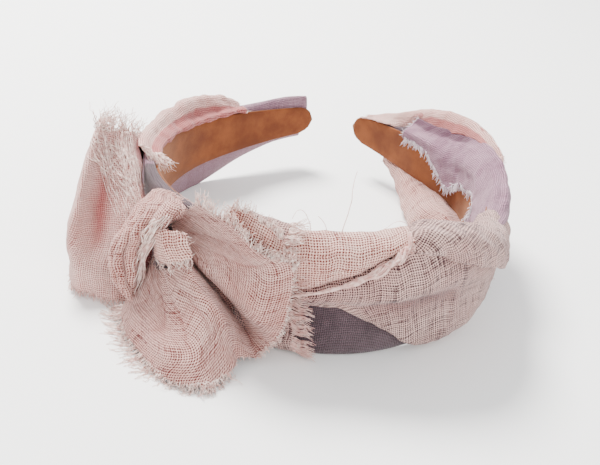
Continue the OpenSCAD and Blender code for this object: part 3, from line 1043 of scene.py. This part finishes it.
CORNER_PATHS = (
    (28, ((-1.2, 36), (-1.4, 42), (1, 45.5), (5, 47), (9, 46.5), (10.6, 44.6), (10.4, 43), (8.5, 42.5))),
    (34, ((-1.2, 36), (-1.8, 43), (1, 48), (6, 50), (10.6, 49), (12.4, 45.8), (12, 42.6), (9, 42))),
    (42, ((-1.2, 35), (-2, 42.6), (1, 46.6), (6.5, 48.8), (12, 48), (14.6, 43.6), (14, 38.6), (10.6, 40))),
    (50, ((-1.2, 33), (-2, 40.6), (1, 44), (7, 46.2), (12.6, 45.2), (15.6, 40.6), (15.4, 35), (11, 37.4))),
    (
        58,
        (
            (-1.2, 31), (-1.8, 38.4), (1, 40.8), (7, 42.8),
            (12.6, 41.6), (15.8, 36.6), (15.8, 30.8), (11, 34),
        ),
    ),
    (
        66,
        (
            (-1.2, 29.5), (-1.6, 35.8), (1, 38), (6.5, 39.2),
            (11.8, 37), (14.8, 31.8), (14.8, 26), (10, 29.6),
        ),
    ),
    (74, ((-1.2, 28), (-1.4, 34.6), (1, 36.8), (5.5, 37.8), (9.8, 35), (12, 29), (11.8, 23), (8.6, 26))),
    (81, ((-1.6, 26), (-1.8, 32.4), (0.8, 36), (4.5, 37), (8.2, 34), (10.2, 28.6), (10, 22.6), (8, 25))),
    (85, ((-2, 22), (-2.2, 28), (0.6, 33.4), (4.5, 36), (8.2, 32.6), (9.6, 27), (9.2, 23), (7.8, 25))),
)
corner, corner_points = sheet_of_linen(
    "corner_fold",
    by_columns(CORNER_PATHS),
    PINK_OVER_MAUVE,
    crease=0.5,
    crease_size=10,
    seed=31,
    weave_turn=28,
)

COLLAR_SECTION = (
    (-1.2, 10),
    (-1, 4),
    (2, 1),
    (6.4, 1),
    (8.8, 5.2),
    (9, 15),
    (9, 25),
    (9, 35),
    (8.6, 42.6),
    (5, 46.2),
    (1, 44.8),
    (-1.2, 40),
    (-1.2, 34),
)


def collar_rows():
    """The collar strip: once round the band beside the bow, its raw right edge leaning left at the top."""
    rows = []
    for n, z in COLLAR_SECTION:
        right_edge = 0.6 - 6.4 * z / 45
        row = ((-20, -1.0), (-13, -0.4), (right_edge - 5, 0.0), (right_edge, 0.5))
        rows.append([(s, n + lift, z) for s, lift in row])
    return rows


collar, collar_points = sheet_of_linen("collar_strip", collar_rows(), PINK_OVER_MAUVE, crease=0.25, seed=41)

# ------------------------------------------------ bow fan

FAN_RAYS = (
    ((-44, 10, 32), (-41, 10, 37), (-37.4, 10, 42), (-35, 10, 47)),
    ((-41, 9.6, 31), (-31, 9.8, 36.6), (-26, 10.8, 41.4), (-22, 11.6, 46)),
    ((-38, 9.4, 29.4), (-23, 11.2, 35), (-16, 13.4, 37.4), (-11.6, 13.4, 39.6)),
    ((-36, 9.4, 27.6), (-19.6, 12.4, 31), (-10.4, 13.6, 33.6), (-3, 12.8, 37)),
    ((-35.6, 9.4, 26.4), (-18, 15.4, 27), (-10, 17, 25), (-2.6, 14.6, 22)),
    ((-35.4, 8.8, 25.4), (-19.6, 13.2, 20.4), (-10.6, 16.8, 17.4), (-4, 15.4, 12)),
    ((-35, 8, 24.4), (-24, 6.4, 17), (-15.6, 8, 9), (-7, 15.4, 5)),
    ((-35.2, 9, 24), (-25.4, 7.4, 16), (-17, 8.8, 8), (-8.6, 17, 3)),
    ((-34.4, 13.6, 28), (-26, 18, 23.6), (-18.6, 19.4, 17.6), (-11.4, 21, 3.4)),
    ((-36, 15.4, 26), (-26.6, 21.6, 20.4), (-19, 25.4, 14), (-12.6, 26.4, 2.4)),
    ((-38, 16.6, 23), (-27, 25, 16), (-20, 33, 10), (-15.6, 36.4, 2)),
    ((-40, 16.6, 21), (-29.6, 26, 13.6), (-24.6, 35.6, 9), (-22.6, 39.4, 1.6)),
    ((-42, 16.4, 20.4), (-35, 25, 13), (-33, 31, 8.6), (-32.6, 34, 1.6)),
    ((-44, 15.4, 21), (-40, 23.4, 13.6), (-40.6, 27.4, 8.6), (-42.6, 28.4, 1.6)),
    ((-45.6, 13.4, 21.4), (-43.6, 21, 13.6), (-45, 22.8, 9), (-48, 22.6, 3)),
)
fan, fan_points = sheet_of_linen(
    "bow_fan",
    FAN_RAYS,
    PINK,
    crease=0.22,
    crease_size=13,
    pleats=(12, 0.55),
    pleats_across=True,
    seed=51,
    step=0.6,
)

FLAP_ROWS = (
    ((-26, 9, 36), (-20, 9.8, 35.4), (-13, 10.6, 34), (-5, 10.8, 32)),
    ((-25.4, 8.6, 43), (-19.4, 9.2, 42), (-12.6, 10, 41), (-5.4, 10.6, 38.6)),
    ((-24, 8, 50), (-17.6, 8.4, 50.2), (-11.6, 9.2, 48.4), (-6.4, 10, 44.6)),
)
flap, flap_points = sheet_of_linen(
    "bow_flap", FLAP_ROWS, PINK_OPEN, crease=0.5, crease_size=7, seed=61, step=0.7, thickness=0.35
)

# ------------------------------------------------ knot, its end, and the left tail

KNOT_ROWS = (
    ((-62, -0.4, 31), (-59, -1.2, 33), (-54, -1.4, 35), (-48, -1.4, 36), (-42, -1.2, 36), (-42, 0.5, 34.6)),
    ((-64, 3, 29), (-61, 4, 33.4), (-56, 5.4, 37.6), (-50.6, 6.6, 40), (-45, 6.4, 40.6), (-45, 4, 37.4)),
    (
        (-62, 9, 28), (-57, 13.6, 31.4), (-51.6, 13.8, 37.4),
        (-44, 13.6, 42.4), (-37.6, 11, 43), (-41, 8, 37.4),
    ),
    (
        (-58, 14, 25), (-52, 19.6, 29.4), (-47.8, 20, 34.6),
        (-42.6, 19, 39), (-38, 15, 39.6), (-43.6, 11, 34.4),
    ),
    ((-56, 18, 21), (-51, 24.6, 25.8), (-46, 25, 31), (-43, 21.6, 33.6), (-41.6, 17, 32.6), (-47, 13, 27.4)),
    (
        (-54, 20, 16), (-49.6, 27, 20.6), (-45.6, 27.4, 24.4),
        (-44, 23.6, 25.6), (-45, 18, 23), (-50, 14, 18.4),
    ),
    (
        (-51.6, 21, 12.6), (-46.6, 28.6, 17.2), (-43.2, 28.4, 19),
        (-43, 24.4, 19), (-45.6, 19, 16.2), (-50, 15, 11.6),
    ),
    ((-49, 21, 9.6), (-43.8, 28, 14), (-42, 27, 13.4), (-43, 23.6, 12.4), (-45.6, 18, 9), (-50, 14, 5)),
    ((-47, 19, 5), (-42.8, 25, 9), (-42.2, 24, 7.4), (-43, 21, 6.2), (-46, 17, 4.2), (-49, 14, 1.4)),
)
knot, knot_points = sheet_of_linen(
    "knot", KNOT_ROWS, PINK, crease=0.3, crease_size=8, pleats=(6, 2.3), seed=71, step=0.55, thickness=0.5
)

KNOT_END_ROWS = (
    ((-44, 16.6, 34.6), (-39, 18.8, 37.6), (-33, 15.6, 39.4)),
    ((-42.4, 17.4, 29.6), (-36, 20.2, 32.8), (-30, 16.4, 36)),
    ((-40.4, 18.2, 24), (-33.4, 20.2, 28), (-28.4, 16.4, 31.4)),
)
knot_end, knot_end_points = sheet_of_linen(
    "knot_end", KNOT_END_ROWS, PINK_OPEN, crease=0.15, crease_size=5, seed=81, step=0.6, thickness=0.8
)

TAIL_ROWS = (
    ((-74, 28, 3), (-60, 33.6, 2.4), (-55, 29.6, 1.4), (-50, 22.6, 1.6), (-49, 13, 2.4)),
    ((-74, 28, 12), (-60, 35, 13), (-56, 30, 12), (-52.6, 20, 11), (-52, 9.6, 10)),
    ((-75, 27, 22), (-60.4, 34.8, 23), (-61, 24.6, 20), (-56, 16, 22), (-57, 6.4, 19)),
    ((-77, 25, 31), (-64, 30.8, 33), (-67, 21, 29.4), (-61, 11.4, 32), (-64, 5.8, 27)),
    ((-82, 21.6, 40), (-70.4, 25.8, 42), (-73, 18.6, 39), (-72, 9.4, 39), (-74, 5.8, 32)),
    ((-88, 18.6, 47), (-77, 21.6, 50), (-80, 15.4, 47.6), (-82, 8.6, 45), (-83, 5.8, 35.6)),
)
# painted shade on the tail's last columns, where it folds back to the band into a hollow
TAIL_PAINTED_SHADE = (-1, 0, 2, 3, 0.72, 0.86, 2, 3)
tail, tail_points = sheet_of_linen(
    "left_tail", TAIL_ROWS, PINK_PALE, crease=0.5, crease_size=16, inner=TAIL_PAINTED_SHADE, seed=91
)

# ------------------------------------------------ left arm wrap

LEFT_STATIONS = (-154, -149, -140, -130, -120, -110, -98, -82)
LEFT_CRESTS = (32, 34.6, 37.4, 38.6, 38.2, 37.6, 38, 39.6)
LEFT_INNER_EDGES = (30.6, 31.2, 31.2, 31.2, 31.8, 32.6, 33.8, 36)


def band_edges(s):
    """The heights of the band's lower and upper edge at s."""
    tall = float(half_width(s))
    return BAND_MIDDLE - tall, BAND_MIDDLE + tall


def left_wrap_sections():
    """The puffy wrap on the left arm: up its outer face, over the top, and folded in above the lining."""
    for s, crest, inner in zip(LEFT_STATIONS, LEFT_CRESTS, LEFT_INNER_EDGES):
        bottom, top = band_edges(s)
        low = bottom + 3.5 + 1.8 * math.sin(s / 8)
        yield s, (
            (6.2, low),
            (7.8, (low + crest) / 2),
            (9.4, crest - 5),
            (8.4, crest - 0.6),
            (5.4, crest + 0.4),
            (3.2, crest - 1.8),
            (1.8, top + 1.6),
            (-0.7, inner + 1),
            (-1.0, inner - 0.6),
        )


# painted shade in the valley where the wrap folds in above the lining
LEFT_WRAP_PAINTED_SHADE = (0.6, 0.7, 1.4, 1.5, -1, 0, 2, 3)
left_wrap, left_wrap_points = sheet_of_linen(
    "left_arm_wrap",
    by_columns(left_wrap_sections()),
    PINK_PALE,
    crease=0.55,
    crease_size=11,
    inner=LEFT_WRAP_PAINTED_SHADE,
    seed=101,
)

# ------------------------------------------------ right arm strips

# each station of the lilac strip, and the (s, z) place on the lining where its raw edge ends
MAUVE_COLUMNS = (
    (161, (161.4, 27.4)),
    (157, (157, 28)),
    (153, (152, 28.6)),
    (148, (146, 27)),
    (143, (141, 23.6)),
    (138, (136, 20)),
    (132, (130.5, 18)),
    (127, (125.5, 22.6)),
    (121, (117, 25)),
    (114, (108.5, 26)),
    (106, (105.5, 21)),
    (98, (110, 17.4)),
    (90, (110, 12)),
    (82, (104, 8.6)),
    (76, (92, 8)),
    (68, (76, 9)),
)


def right_mauve_columns():
    """The lilac strip: up the outer face of the right arm, over the top edge, and down on to the lining."""
    for s, (edge_s, edge_z) in MAUVE_COLUMNS:
        low, top = band_edges(s)
        crest = top + 0.4 + 4.6 * float(eased(s, 74, 94)) + 4.4 * float(bump_between(s, 84, 118, 160))
        dip = 2.6 * float(bump_between(s, 96, 140, 170))
        yield (
            (s, 5.8, low - 0.4),
            (s, 7.2, low + 4),
            (s, 8.2, BAND_MIDDLE),
            (s, 8.4, top - 1),
            (s, 6.6, crest + 0.4),
            (s, 4.2, crest - dip * 0.7),
            (s, 1.6, crest - 1.0 - dip),
            ((s * 2 + edge_s) / 3, -1.8, (crest * 2 + edge_z) / 3 - 1),
            ((s + edge_s * 2) / 3, -1.5, (crest + edge_z * 2) / 3 - 0.6),
            (edge_s, -1.3, edge_z),
        )


# painted shade along the strip's crest, in the valley between its outer roll and its inner flap
MAUVE_STRIP_PAINTED_SHADE = (0.36, 0.48, 0.56, 0.68, -1, 0, 0.35, 0.6)
mauve_strip, mauve_points = sheet_of_linen(
    "right_arm_mauve_strip", list(zip(*right_mauve_columns())), MAUVE_STRIP_IN_PAINTED_LIGHT, crease=0.35, inner=MAUVE_STRIP_PAINTED_SHADE, seed=111
)

TIP_STATIONS = (187, 180, 172, 166, 161, 154, 147, 140, 132, 124, 114)
TIP_CRESTS = (26, 29.4, 33, 36, 38.6, 41.4, 43.4, 44.6, 45, 44, 41)
TIP_INNER = (26.6, 28, 28.8, 28.4, 29, 33.4, 35, 37.6, 40, 41.4, 39.6)


def tip_strip_sections():
    """The pale strip at the right tip: up the outer face and over the top edge, standing off it inwards."""
    for s, crest, inner in zip(TIP_STATIONS, TIP_CRESTS, TIP_INNER):
        low, _ = band_edges(s)
        reach = 6.2 + 3.4 * float(eased(187 - s, 0, 45))
        over = 4.6 * float(eased(-s, -170, -164))
        tuck = 1.6 * float(eased(s, 162, 172))
        yield s, (
            (5.6, low),
            (reach - 0.6, BAND_MIDDLE - 1),
            (reach, BAND_MIDDLE + 6 + (crest - 30) * 0.3),
            (reach - 1.0, crest - 2.4),
            (5.2 + over, crest),
            (3.4 + over, crest - 1.0),
            (2.0 + over, (crest + inner) / 2 - 0.4),
            (0.9 + over - tuck, inner),
        )


# painted shade on the tip strip's inner rows, in the hollow where it stands off the band
TIP_STRIP_PAINTED_SHADE = (0.74, 0.84, 1.4, 1.5, 0.26, 0.4, 2, 3)
tip_strip, tip_points = sheet_of_linen(
    "right_tip_strip",
    by_columns(tip_strip_sections()),
    PINK_PALE,
    crease=0.25,
    crease_size=11,
    inner=TIP_STRIP_PAINTED_SHADE,
    seed=121,
)

HANGING_PATHS = (
    (172, ((2.4, 14.6), (1.6, 13.4), (2, 12.4), (3, 11.6), (4.4, 11.6))),
    (164, ((1.8, 13.6), (0, 12), (-0.6, 9.6), (0.6, 7.4), (4, 7))),
    (155, ((1.6, 13), (-2.4, 11.4), (-4.4, 8), (-3.6, 4), (3, 3))),
    (146, ((1.4, 12.6), (-5, 12), (-9, 8), (-8.6, 2.4), (2, 1))),
    (136, ((1.4, 12), (-7.4, 13), (-13.4, 9), (-13.6, 1.8), (0, 0.8))),
    (126, ((1.4, 11), (-8, 13.4), (-15, 9.6), (-15.4, 1.6), (0, 0.8))),
    (116, ((1.4, 10), (-6.4, 12.6), (-12, 9), (-12.4, 1.6), (0, 0.8))),
    (104, ((1.4, 9.6), (-2.6, 10.4), (-6, 7), (-6, 1.6), (1, 0.8))),
    (90, ((1.4, 8.4), (-0.8, 7.6), (-2.2, 4.6), (-1.6, 1.2), (2.4, 0.8))),
)
hanging, hanging_points = sheet_of_linen(
    "right_hanging_fold", by_columns(HANGING_PATHS), PINK, crease=0.4, crease_size=10, seed=131
)

# ------------------------------------------------ frayed edges and loose threads

FRINGE_SEED = 201
FUZZ_SEED = 401

# ways that the threads of a fringe lie
COMBED = {"wave": 0.45, "clump": 0.07, "stray": 0.07, "curl": 0.2}
IN_STEP = {"wave": 0.55, "clump": 0.05, "stray": 0.05, "curl": 0.12, "in_step": True, "segments": 13}
SOFT = {"wave": 0.7, "clump": 0.3, "stray": 0.2}
SHORT = {"wave": 0.25, "clump": 0.2, "stray": 0.2}

# each fringe: its sheet, the edge, how many, lengths in mm, thread, where along the edge, its lean, its lie
FRAYED_EDGES = {
    "collar": (collar_points, "last_column", 190, (6, 9), BLUSH, (0.26, 0.62), (0, -0.2, 0.1), IN_STEP),
    "collar_top": (collar_points, "last_column", 110, (4, 8), CREAM, (0.56, 0.82), (0.1, 0, 0.35), COMBED),
    "fan_top": (fan_points, "last_column", 80, (3.5, 6.5), CREAM, (0.0, 0.08), (0, 0, 0.8), COMBED),
    "fan_front": (fan_points, "last_column", 120, (2.5, 5), CREAM, (0.075, 0.22), (-0.1, 0, 0.8), COMBED),
    "fan_right": (fan_points, "last_column", 150, (1, 2.4), CREAM, (0.21, 0.5), (0, -0.1, 0), SHORT),
    "fan_bottom": (fan_points, "last_column", 150, (2, 6), CREAM, (0.66, 0.84), (-0.3, 0, 0), SOFT),
    "fan_side": (fan_points, "last_column", 170, (5, 12), CREAM, (0.82, 1.0), (-0.5, 0.1, 0.12), COMBED),
    "flap": (flap_points, "last_row", 90, (1.5, 4.5), CREAM, (0, 1), (0, 0, 0.5), COMBED),
    "flap_side": (flap_points, "first_column", 30, (1, 3.4), CREAM, (0.3, 1), (0, 0, 0.3), SHORT),
    "knot_end": (knot_end_points, "last_row", 26, (2.6, 5), CREAM, (0, 1), (0, -0.2, -0.2), COMBED),
    "tail_top": (tail_points, "last_row", 150, (4, 10), CREAM, (0.06, 0.8), (0.1, 0.2, 0.4), SOFT),
    "tail_bottom": (tail_points, "first_row", 100, (1.2, 3.6), BLUSH, (0.08, 0.82), (0, -0.3, 0), SHORT),
    "left_wrap": (left_wrap_points, "last_column", 110, (5, 9), CREAM, (0.45, 1), (0.6, 0.35, -0.4), COMBED),
    "mauve": (mauve_points, "last_row", 420, (1.8, 4.6), WHITE, (0.02, 0.86), (0, 0, -0.2), SHORT),
    "corner": (corner_points, "first_column", 70, (1.5, 4), BLUSH, (0.3, 1), (-0.3, -0.3, 0), SHORT),
    "tip": (tip_points, "last_column", 60, (1.5, 4), BLUSH, (0.2, 1), (0.2, 0, 0), SHORT),
}
fringes = {}
for order, (place, (points, *frayed, lie)) in enumerate(FRAYED_EDGES.items()):
    name = place + "_fringe"
    fringes[name] = fringe(name, points, FRINGE_SEED + order, *frayed, **lie)

KNOT_LAID = ((0.42, 0.72, 0.05, 0.05), (0.84, 0.66, 0.12, 0.09))
TAIL_LAID = ((0.95, 0.45, 0.1, 0.28), (0.62, 0.76, 0.18, 0.12))
fringes["knot_threads"] = laid_threads(
    "knot_threads", knot_points, 34, *KNOT_LAID, CREAM, 231, lift=1.6, radius=0.2, wave=0.8
)
fringes["tail_side_fringe"] = laid_threads(
    "tail_side_fringe", tail_points, 80, *TAIL_LAID, CREAM, 232, lift=0.8, radius=0.15, wave=0.6
)

CREASE_BUNDLE = 150
CREASE_SEGMENTS = 16
CREASE_RADIUS = 0.19
CREASE_ROUTE = (
    (-3, 10.2, 24.6),
    (3.5, 11.2, 27.6),
    (9, 11.8, 30.8),
    (14, 12.2, 33.8),
    (19, 12.4, 37.8),
    (23.5, 12.2, 41.8),
    (26.6, 11.2, 45.4),
    (27.6, 8.4, 48.4),
)
CREASE_SWELL = (0.3, 0.4, 0.6, 1.0, 1.7, 1.9, 1.6, 1.2)


def crease_fray():
    """Frayed threads that lie in a rolled bundle along the crease, thicker to the right."""
    rng = np.random.default_rng(301)
    lines = []
    radii = []
    reach = len(CREASE_ROUTE) - 1
    whole = np.arange(reach + 1)
    for _ in range(CREASE_BUNDLE):
        start = rng.uniform(0, 0.78)
        share = np.linspace(start, min(1.0, start + rng.uniform(0.2, 0.42)), CREASE_SEGMENTS) * reach
        place = np.stack([np.interp(share, whole, column) for column in np.array(CREASE_ROUTE).T], -1)
        swell = np.interp(share, whole, CREASE_SWELL)
        angle = rng.uniform(0, math.tau) + share * rng.uniform(0.6, 1.8)
        angle = angle + 0.8 * np.sin(share * rng.uniform(2, 5))
        off = swell * rng.uniform(0.45, 1.0) * (1 + 0.35 * np.sin(share * 5.0))
        place[:, 1] += off * np.cos(angle)
        place[:, 2] += off * np.sin(angle)
        lines.append(placed(place))
        radii.append(np.full(CREASE_SEGMENTS, CREASE_RADIUS * MM * rng.uniform(0.7, 1.3)))
    return tubes("crease_fray", np.array(lines), np.array(radii), BLUSH)


fringes["crease_fray"] = crease_fray()

STRAY_ROUTES = (
    ((8, 7, 45), (9, 5, 50), (10.5, 2, 55), (11, -2, 58), (12, -6, 60), (13, -8, 62)),
    ((0, 7, 46), (-1, 5, 49), (-3, 4, 52), (-5, 5, 53), (-6, 7, 51)),
    ((3, 8, 45), (4, 6, 48), (3, 5, 50), (1, 5, 52)),
    ((30, 6, 49), (27, 5, 51), (24, 5, 51.5), (20, 6, 50)),
)
fringes["stray_threads"] = loose_threads("stray_threads", STRAY_ROUTES, BLUSH)

# ------------------------------------------------ what moves with what, and what stands for what

SOFT_HEMS = {"left_arm_wrap": "last_row", "right_tip_strip": "last_row"}
EDGES = ("first_row", "last_row", "first_column", "last_column")
FUZZ_SEGMENTS = 5
FUZZ_RADIUS = 0.12
FUZZ_LENGTH = (0.7, 2.4)
FUZZ_PER_MM = 1.3


def edge_fuzz(name, points, material, seed):
    """Short fibres all round the raw edges of a sheet, as one piece."""
    rng = np.random.default_rng(seed)
    starts = []
    headings = []
    for side in EDGES:
        if SOFT_HEMS.get(name) == side:
            continue
        edge, outward = edge_of(points, side)
        count = int(line_length(edge, 0) / MM * FUZZ_PER_MM)
        place = np.sort(rng.uniform(0, len(edge) - SHORT_OF_END, count))
        heading = outward[place.astype(int)]
        starts.append(between(edge, place) - heading * 0.4 * MM)
        headings.append(heading)
    starts = np.concatenate(starts)
    lengths = rng.uniform(*FUZZ_LENGTH, len(starts)) * MM
    lines = thread_lines(
        starts, np.concatenate(headings), lengths, rng, wave=0.2, stray=0.45, segments=FUZZ_SEGMENTS
    )
    radii = thinning(0.7, 1.3, 0.4, len(starts), FUZZ_SEGMENTS, FUZZ_RADIUS, rng)
    return tubes(name + "_fuzz", lines, radii, material)


CROWN_COVER = covers["crown"]
RIGHT_COVER = covers["right_arm"]
COLLAR_FRINGES = ("collar_fringe", "collar_top_fringe")
FAN_FRINGES = tuple(f"fan_{place}_fringe" for place in ("top", "front", "right", "bottom", "side"))
FLAP_FRINGES = ("flap_fringe", "flap_side_fringe")
TAIL_FRINGES = tuple(f"tail_{place}_fringe" for place in ("top", "side", "bottom"))
UPPER_THREADS = ("crease_fray", "stray_threads")

# each strip: its sheet, its grid, the thread of its raw edges, and what it moves with
STRIPS = {
    "upper_front_strip": (upper, upper_points, BLUSH, None),
    "lower_front_strip": (lower, lower_points, BLUSH, None),
    "corner_fold": (corner, corner_points, BLUSH, None),
    "collar_strip": (collar, collar_points, BLUSH, None),
    "bow_fan": (fan, fan_points, BLUSH, None),
    "bow_flap": (flap, flap_points, CREAM, None),
    "knot": (knot, knot_points, None, None),
    "knot_end": (knot_end, knot_end_points, CREAM, None),
    "left_tail": (tail, tail_points, CREAM, None),
    "left_arm_wrap": (left_wrap, left_wrap_points, CREAM, LEFT),
    "right_arm_mauve_strip": (mauve_strip, mauve_points, WHITE, RIGHT),
    "right_tip_strip": (tip_strip, tip_points, CREAM, RIGHT),
    "right_hanging_fold": (hanging, hanging_points, CREAM, RIGHT),
}

# each strip: the size it was cut to in metres, how it is held, what it lies on, and its fringes
LAID_STRIPS = {
    "upper_front_strip": ((0.042, 0.036), "folded", CROWN_COVER, UPPER_THREADS),
    "lower_front_strip": ((0.080, 0.046), "folded", CROWN_COVER, ()),
    "corner_fold": ((0.058, 0.0425), "folded", CROWN_COVER, ("corner_fringe",)),
    "collar_strip": ((0.0155, 0.091), "folded", CROWN_COVER, COLLAR_FRINGES),
    "bow_fan": ((0.062, 0.052), "gathered", CROWN_COVER, FAN_FRINGES),
    "bow_flap": ((0.021, 0.014), "gathered", fan, FLAP_FRINGES),
    "knot": ((0.028, 0.081), "folded", CROWN_COVER, ("knot_threads",)),
    "knot_end": ((0.013, 0.0155), "folded", fan, ("knot_end_fringe",)),
    "left_tail": ((0.052, 0.0505), "gathered", knot, TAIL_FRINGES),
    "left_arm_wrap": ((0.072, 0.039), "folded", covers["left_arm"], ("left_wrap_fringe",)),
    "right_arm_mauve_strip": ((0.097, 0.0575), "folded", RIGHT_COVER, ("mauve_fringe",)),
    "right_tip_strip": ((0.072, 0.0385), "folded", RIGHT_COVER, ("tip_fringe",)),
    "right_hanging_fold": ((0.080, 0.0245), "hung", RIGHT_COVER, ()),
}

fuzz_seed = FUZZ_SEED
for name, (piece, points, thread, body) in STRIPS.items():
    flat, held, under, owned = LAID_STRIPS[name]
    with_pieces = [fringes[fringe_name] for fringe_name in owned]
    if thread:
        with_pieces.append(edge_fuzz(name, points, thread, fuzz_seed))
        fuzz_seed += 1
    for moving in (piece, *with_pieces):
        move_with(moving, body)
    if name != "bow_flap":
        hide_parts(name)

# ------------------------------------------------ floor, light and camera


def make_floor():
    """A wide pale floor."""
    floor_mesh = bpy.data.meshes.new("floor")
    reach = 3.0
    corners = [(-reach, -reach, 0), (reach, -reach, 0), (reach, reach, 0), (-reach, reach, 0)]
    floor_mesh.from_pydata(corners, [], [(0, 1, 2, 3)])
    floor = bpy.data.objects.new("floor", floor_mesh)
    bpy.context.scene.collection.objects.link(floor)
    material, _, shader = new_material("pale_floor", 0.6)
    shader.inputs["Base Color"].default_value = colour((250, 250, 248))
    floor_mesh.materials.append(material)


def soft_light(name, place, target, size, power, tint):
    """A large soft lamp that points at target."""
    lamp = bpy.data.lights.new(name, "AREA")
    lamp.shape = "DISK"
    lamp.size = size
    lamp.energy = power
    lamp.color = tint
    holder = bpy.data.objects.new(name, lamp)
    holder.location = place
    holder.rotation_euler = (Vector(target) - Vector(place)).to_track_quat("-Z", "Y").to_euler()
    bpy.context.scene.collection.objects.link(holder)


CAMERA_TARGET = Vector((-0.00466, 0.0377, 0.020))
CAMERA_DISTANCE = 0.3589
CAMERA_TURN = 0.026
CAMERA_RISE = 0.53
CAMERA_ROLL = 0.1437


def make_camera():
    """The camera stands in front of the crown, above it, and leans a little to one side."""
    back = Vector(
        (
            math.sin(CAMERA_TURN) * math.cos(CAMERA_RISE),
            -math.cos(CAMERA_TURN) * math.cos(CAMERA_RISE),
            math.sin(CAMERA_RISE),
        )
    )
    across = (-back).cross(Vector((0, 0, 1))).normalized()
    upward = across.cross(-back)
    side = across * math.cos(CAMERA_ROLL) + upward * math.sin(CAMERA_ROLL)
    top = upward * math.cos(CAMERA_ROLL) - across * math.sin(CAMERA_ROLL)
    data = bpy.data.cameras.new("camera")
    data.lens = 60.0
    data.sensor_width = 36.0
    data.clip_start = 0.01
    camera = bpy.data.objects.new("camera", data)
    turned = Matrix((side, top, back)).transposed().to_4x4()
    turned.translation = CAMERA_TARGET + back * CAMERA_DISTANCE
    camera.matrix_world = turned
    bpy.context.scene.collection.objects.link(camera)
    bpy.context.scene.camera = camera


def make_world():
    """A bright even surround."""
    world = bpy.data.worlds.new("surround")
    world.use_nodes = True
    background = world.node_tree.nodes["Background"]
    background.inputs["Color"].default_value = (0.95, 0.97, 1.0, 1.0)
    background.inputs["Strength"].default_value = 1.45
    bpy.context.scene.world = world


make_floor()
make_world()
soft_light("window_light", (-0.35, 0.45, 0.75), (0, 0.04, 0.02), 0.35, 30.0, (1.0, 0.98, 0.96))
soft_light("front_fill", (0.4, -0.7, 0.6), (0, 0.04, 0.02), 0.8, 5.0, (1.0, 0.97, 0.95))
make_camera()
